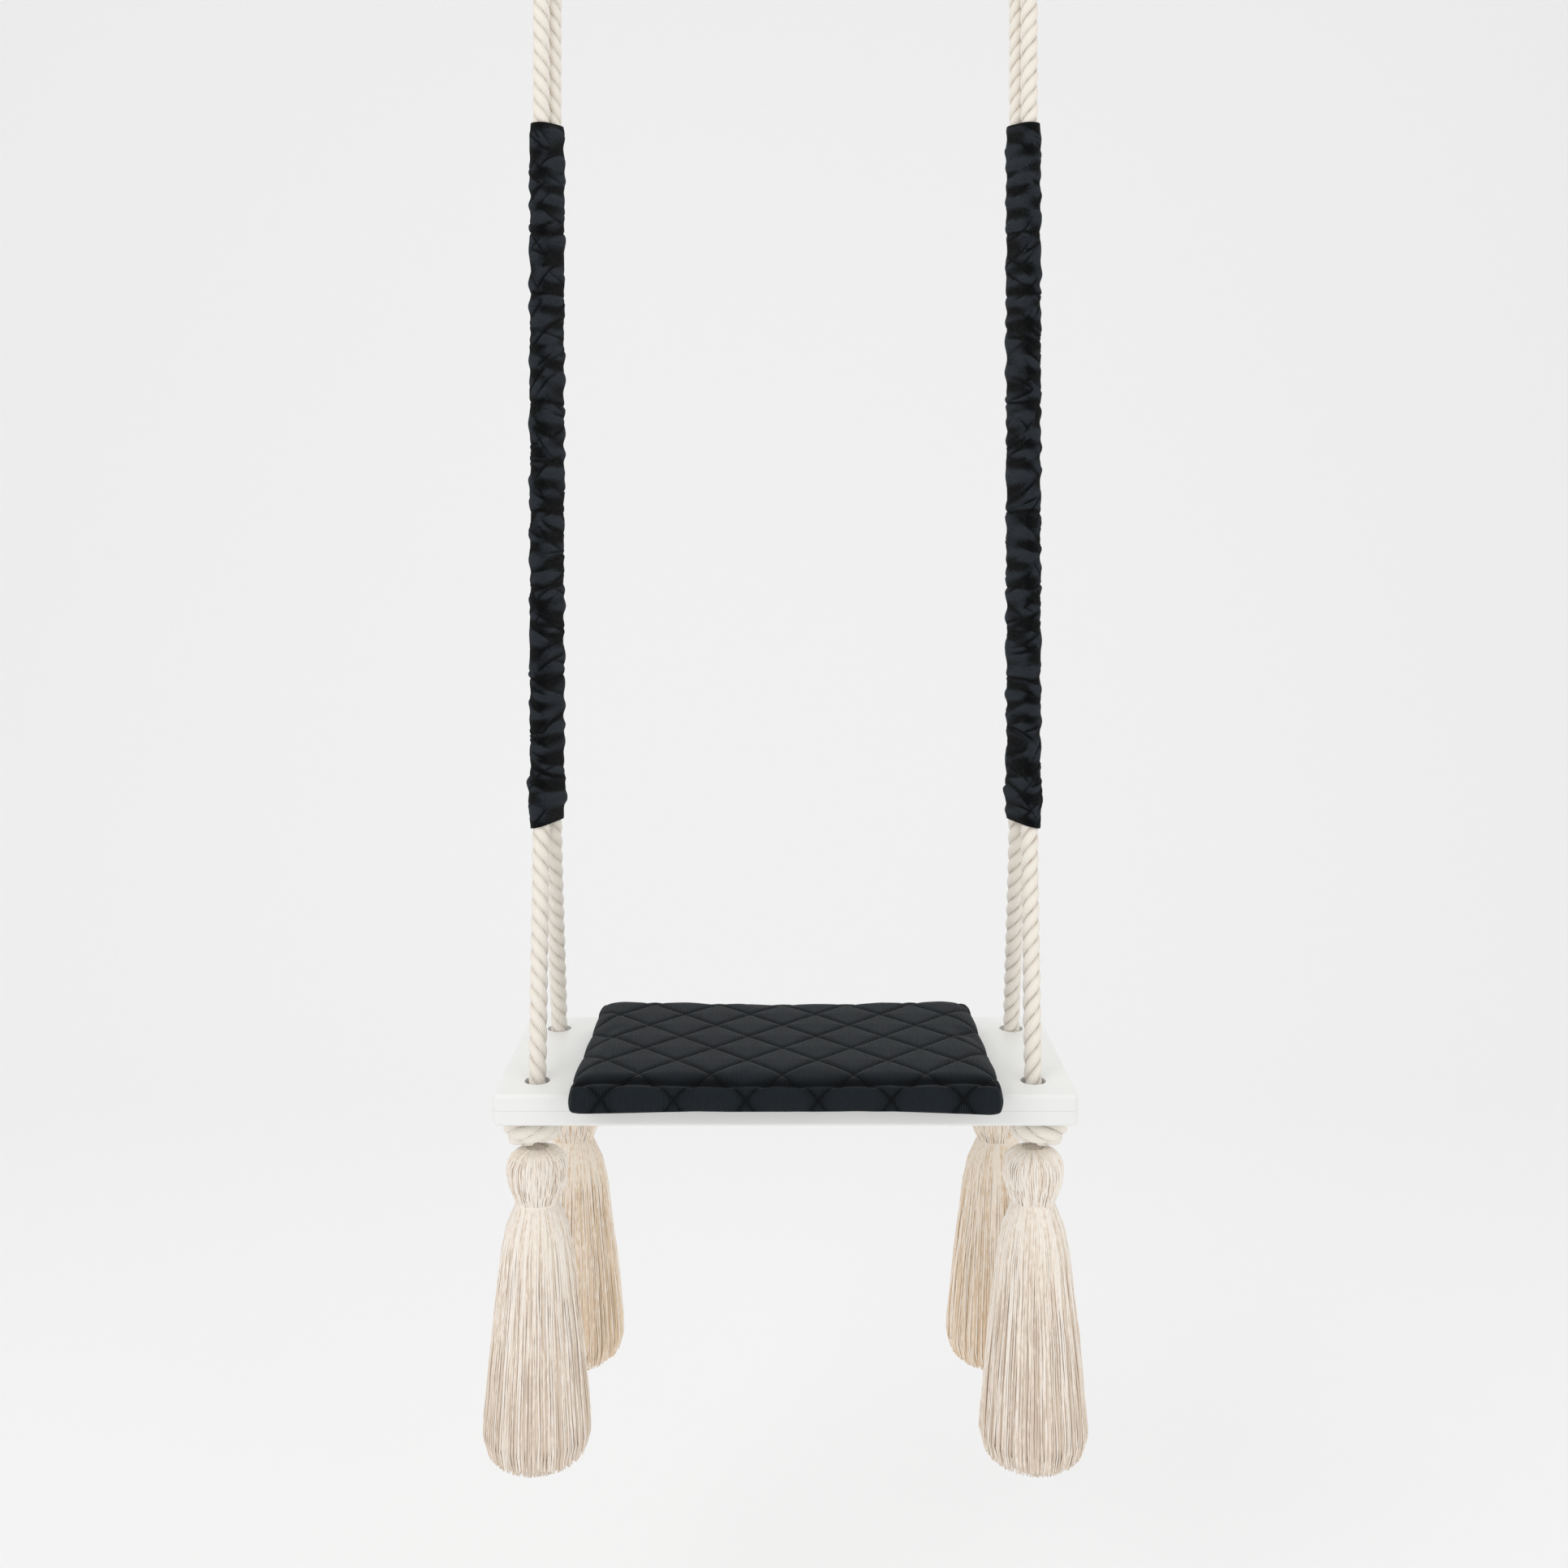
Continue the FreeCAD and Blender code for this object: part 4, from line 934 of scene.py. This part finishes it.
# %% Helpers for tassels
YARN = 0.00135
SKIRT_POINTS, HEAD_POINTS = 11, 12      # points along one yarn
OUTER_YARNS, INNER_YARNS, HEAD_YARNS = 270, 330, 140
SKIRT_INSET, HEAD_INSET = 0.0013, 0.0010            # how far inside the yarns a core's surface lies
BINDING_FOOT, BINDING_TOP = 0.0038, 0.0008          # under and over the top of the CAD binding
END_ROUND = 0.018           # the outermost yarn ends sit this much higher than the middle ones
TUCK = 0.07                 # and draw in by this share
NECK_RADIUS = 0.0161
BINDING_CORD = 0.0015
HEAD_SHAPE = ((-0.0522, 0.0085), (-0.0541, 0.0140), (-0.0560, 0.0180), (-0.0588, 0.0210), (-0.0628, 0.0229),
              (-0.0690, 0.0236), (-0.0760, 0.0229), (-0.0820, 0.0213), (-0.0870, 0.0193), (-0.0915, 0.0172),
              (-0.0955, 0.0158))
SKIRT_SHAPE = ((-0.0940, 0.0158), (-0.0985, 0.0178), (-0.1090, 0.0226), (-0.1240, 0.0266), (-0.1440, 0.0292),
               (-0.1620, 0.0310), (-0.1990, 0.0355), (-0.2370, 0.0391), (-0.2730, 0.0421), (-0.2870, 0.0422),
               (-0.3010, 0.0414))
REAR_SKIRT = 0.935          # the rear skirts are trimmed to this share of the front ones
REAR_SPREAD = 1.04          # and spread this much wider


def along_shape(shape, share):
    """Height above the board's top and radius, a share of the way down a tassel shape."""
    heights, radii = np.array(shape).T
    run = np.concatenate(([0], np.cumsum(np.hypot(np.diff(heights), np.diff(radii)))))
    at = share * run[-1]
    return np.interp(at, run, heights), np.interp(at, run, radii)


def core(name, x, y, shape, inset, body, material):
    """A closed turned form just inside the yarns, ribbed a little like them."""
    def where(u, v):
        height, radius = along_shape(shape, 1 - v)
        ends = np.sqrt(np.clip(1 - (2 * v - 1) ** 20, 0, 1))
        angle = u * 2 * math.pi
        radius = np.maximum(radius - inset + 0.0003 * np.sin(angle * 46), 0.001) * ends
        return np.column_stack((x + radius * np.cos(angle), y + radius * np.sin(angle), BOARD_TOP + height))

    piece = lay_grid(name, 138, 48, where, body, material)
    # the core takes a fixed tone a little deeper than the average yarn, as painted shade in the gaps between
    # the yarns
    layer = piece.data.attributes.new("shade", "FLOAT", "POINT")
    layer.data.foreach_set("value", np.full(len(piece.data.vertices), 0.7))
    return piece


def spread_yarns(count, points, x, y, shape, inner, wander, seed, round_end=0.0):
    """Yarns that follow a shape, each at its own angle, depth and length."""
    chance = np.random.default_rng(seed)
    yarns = []
    for number in range(count):
        angle = (number + chance.uniform(-0.4, 0.4)) / count * 2 * math.pi
        depth = math.sqrt(chance.uniform(inner ** 2, 1))
        share = np.linspace(0, 1 - chance.uniform(0, 0.0025), points)
        height, radius = along_shape(shape, share)
        drift = wander * (np.cumsum(chance.normal(0, 1, points)) / points + chance.normal(0, 0.4) * share)
        crimp = 0.0004 * np.sin(share * chance.uniform(10, 20) + chance.uniform(0, 6))
        crimp = crimp * np.clip(share * 5, 0, 1)
        radius = radius * (1 - (1 - depth) * np.clip(share * 4, 0, 1)) + crimp
        end = np.clip((share - 0.72) / 0.28, 0, 1)
        height = height + round_end * (1 - math.sqrt(1 - depth ** 2)) * end ** 2
        radius = radius * (1 - (TUCK if round_end else 0) * depth * end ** 4)
        turn = angle + drift + crimp[::-1] / np.maximum(radius, 0.008)
        yarns.append(np.column_stack((x + radius * np.cos(turn), y + radius * np.sin(turn),
                                      BOARD_TOP + height)))
    return yarns


# %% Tassels
# the rear tassels hang in the board's shade; their copy of the cream yarn is painted warmer, as the shade
# looks, and paler, to keep them bright there: painted shade and painted light
knot_yarn = {"front": tassel_yarn("cotton_yarn_cream", "#fffbf5", "#faf0e4", "#e4d4c2"),
             "rear": tassel_yarn("cotton_yarn_cream_tuned_for_shade", "#fffcf5", "#fff3e4", "#ebd5ba")}
for seed, (corner, y_sign, x_sign) in enumerate(CORNERS, start=20):
    low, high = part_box(f"tassel_skirt_{corner}")
    x, y = (low[0] + high[0]) / 2, (low[1] + high[1]) / 2
    body = f"tassel_{corner}"
    yarn = knot_yarn[corner.split("_")[0]]
    shorter, wider = (REAR_SKIRT, REAR_SPREAD) if y_sign > 0 else (1, 1)
    neck = SKIRT_SHAPE[0][0]
    skirt_shape = [(neck + (height - neck) * shorter, radius * wider) for height, radius in SKIRT_SHAPE]
    skirt_core = core(f"skirt_core_{corner}", x, y, skirt_shape[:-1], SKIRT_INSET, body, yarn)
    skirt_yarns = []
    for count, inner, yarn_seed in ((OUTER_YARNS, 0.95, seed), (INNER_YARNS, 0.15, seed + 50)):
        skirt_yarns += spread_yarns(count, SKIRT_POINTS, x, y, skirt_shape, inner, 0.035, yarn_seed,
                                    round_end=END_ROUND)
    skirt = yarn_bundle(f"skirt_yarns_{corner}", skirt_yarns, YARN, body, yarn, seed)
    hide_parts(f"tassel_skirt_{corner}")
    head_core = core(f"head_core_{corner}", x, y, HEAD_SHAPE, HEAD_INSET, body, yarn)
    head_yarns = spread_yarns(HEAD_YARNS, HEAD_POINTS, x, y, HEAD_SHAPE, 0.965, 0.04, seed + 100)
    head = yarn_bundle(f"head_yarns_{corner}", head_yarns, YARN, body, yarn, seed + 1)
    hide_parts(f"tassel_head_{corner}")
    bound_low, bound_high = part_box(f"tassel_binding_{corner}")
    binding = wound_cord(f"neck_binding_{corner}", (x, y), (0, 0), NECK_RADIUS,
                         bound_high[2] - BINDING_FOOT, bound_high[2] + BINDING_TOP, BINDING_CORD, body,
                         yarn, seed)
    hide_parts(f"tassel_binding_{corner}")


# %% [markdown]
# ## Knots and rope tails
# Under the board each leg of the rope is wound round itself in a stopper knot. It is drawn as the same
# twisted rope on a falling spiral: out from the hole, round a turn and a half, and back to the middle.
# The cut tail goes on down inside the tassel's head.

# %% Knots
KNOT_COIL = 0.0165          # radius of the coil's middle line
KNOT_OUTWARD = 0.004        # the coil is pulled this far outward
KNOT_TURNS = 1.45
KNOT_STEPS = 13
KNOT_TIGHTER = 0.0035       # the last turn draws in by about this much


def knot_route(x, y, hole_x, x_sign, top, foot):
    """Corner points of the knotted rope: the hole, a falling spiral, then the middle."""
    points = [(hole_x, y, top + 0.004), (hole_x, y, top - 0.004)]
    start = math.pi / 2 + x_sign * 0.6
    first, last = top - ROPE_WIDTH / 2 - 0.0006, foot + ROPE_WIDTH / 2 + 0.0018
    for step in range(KNOT_STEPS + 1):
        share = step / KNOT_STEPS
        angle = start - x_sign * KNOT_TURNS * 2 * math.pi * share
        coil = KNOT_COIL - KNOT_TIGHTER * max(0.0, share * 2.2 - 1.2)
        points.append((x + coil * math.cos(angle), y + coil * math.sin(angle),
                       first + (last - first) * share))
    points.append((x + 0.004 * math.cos(angle - x_sign), y + 0.004 * math.sin(angle - x_sign), last))
    return points


# the knots and tails get a copy of the rope's cotton with a shorter length for the yarn lines, painted paler
# so that they stay bright in the board's shade: painted light
lightened_knot_cotton = {side_name: cotton_rope(f"knotted_cotton_lightened_{side_name}", "#f6eee3", "#a48e76", 0.20, -x_sign)
               for side_name, x_sign in SIDES}
for corner, y_sign, x_sign in CORNERS:
    side_name = "left" if x_sign < 0 else "right"
    low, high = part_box(f"knot_{corner}")
    x, y = (low[0] + high[0]) / 2 + x_sign * KNOT_OUTWARD, (low[1] + high[1]) / 2
    hole_x = x_sign * abs(ROPE_ROUTE[0][0])
    cotton = lightened_knot_cotton[side_name]
    coil_route = knot_route(x, y, hole_x, x_sign, high[2], low[2])
    knot, _, knot_length = twisted_rope(f"stopper_knot_{corner}", coil_route, ROPE_WIDTH, ROPE_LAY,
                                        -x_sign, "seat", cotton)
    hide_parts(f"knot_{corner}")
    low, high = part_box(f"rope_tail_{corner}")
    x, y = (low[0] + high[0]) / 2, (low[1] + high[1]) / 2
    tail_route = [(x, y, high[2]), (x, y, high[2] - 0.016), (x, y, low[2] + 0.016), (x, y, low[2])]
    tail, _, _ = twisted_rope(f"bound_tail_{corner}", tail_route, ROPE_WIDTH * 0.95, ROPE_LAY, -x_sign,
                              f"tassel_{corner}", cotton)
    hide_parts(f"rope_tail_{corner}")
    print(corner, "knot rope", round(knot_length, 3))


# %% [markdown]
# ## Lashings
# Two tight cord lashings hold the legs of each rope together, one under the thimble and one inside the
# sleeve. Each is one thin cord wound in touching turns round both legs.

# %% Lashings
LASHING_CORD = 0.0014
lashing_cotton = tassel_yarn("lashing_cotton_cord", "#efe4d4", "#e4d6c3", "#cdb99f")
for side_name, x_sign in SIDES:
    for seed, level in enumerate(("upper", "lower")):
        low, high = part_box(f"{level}_lashing_{side_name}")
        middle = (np.array(low) + np.array(high)) / 2
        front, rear = leg_centres(rope_paths[side_name], np.array([middle[2]]))
        lashing = wound_cord(f"{level}_lashing_cord_{side_name}",
                             (front[0] + rear[0]) / 2, (front[0] - rear[0]) / 2,
                             ROPE_DIAMETER / 2 + LASHING_CORD / 2 + 0.0002, low[2], high[2], LASHING_CORD,
                             f"line_{side_name}", lashing_cotton, seed)
        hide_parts(f"{level}_lashing_{side_name}")


# %% [markdown]
# ## Zinc-plated steel
# The ceiling plates, eyes, snap hooks, gates, pins and thimbles keep their CAD shapes. Bright zinc
# plating is a grey metal whose tone and shine change a little in soft clouds, over faint upright lines.

# %% Steel
def zinc_plate(name, tone, rough, cloud):
    material, tree, shader = start_material(name, Metallic=1.0)
    place = add_node(tree, "TexCoord")
    clouds = add_node(tree, "TexNoise", Vector=place.outputs["Object"], Scale=cloud, Detail=4.0)
    drawn = add_node(tree, "Mapping", Vector=place.outputs["Object"], Scale=(900.0, 900.0, 60.0))
    lines = add_node(tree, "TexNoise", Vector=drawn.outputs[0], Scale=1.0, Detail=3.0)
    tint = colour_ramp(tree, clouds.outputs["Fac"], (0.3, "#8e9194"), (0.7, tone))
    tree.links.new(tint, shader.inputs["Base Color"])
    shine = add_node(tree, "MapRange", _0=clouds.outputs["Fac"], _1=0.3, _2=0.7, _3=rough,
                     _4=rough + 0.16)
    tree.links.new(shine.outputs[0], shader.inputs["Roughness"])
    bump = add_node(tree, "Bump", Strength=0.15, Distance=0.0001, Height=lines.outputs["Fac"])
    tree.links.new(bump.outputs["Normal"], shader.inputs["Normal"])
    return material


STEEL = {
    "ceiling_plate": zinc_plate("zinc_plated_sheet_steel", "#c3c6c9", 0.34, 60.0),
    "ceiling_eye": zinc_plate("zinc_plated_bar_steel", "#bfc3c6", 0.28, 140.0),
    "gate_pin": zinc_plate("plain_steel_rivet", "#a9acaf", 0.30, 400.0),
    "thimble": zinc_plate("zinc_plated_thimble", "#cdd0d2", 0.25, 200.0),
}
STEEL["snap_hook"] = STEEL["hook_gate"] = STEEL["ceiling_eye"]
for kind, metal in STEEL.items():
    for side_name, _ in SIDES:
        node = bpy.data.objects[f"{kind}_{side_name}"]
        node.data.materials.clear()
        node.data.materials.append(metal)
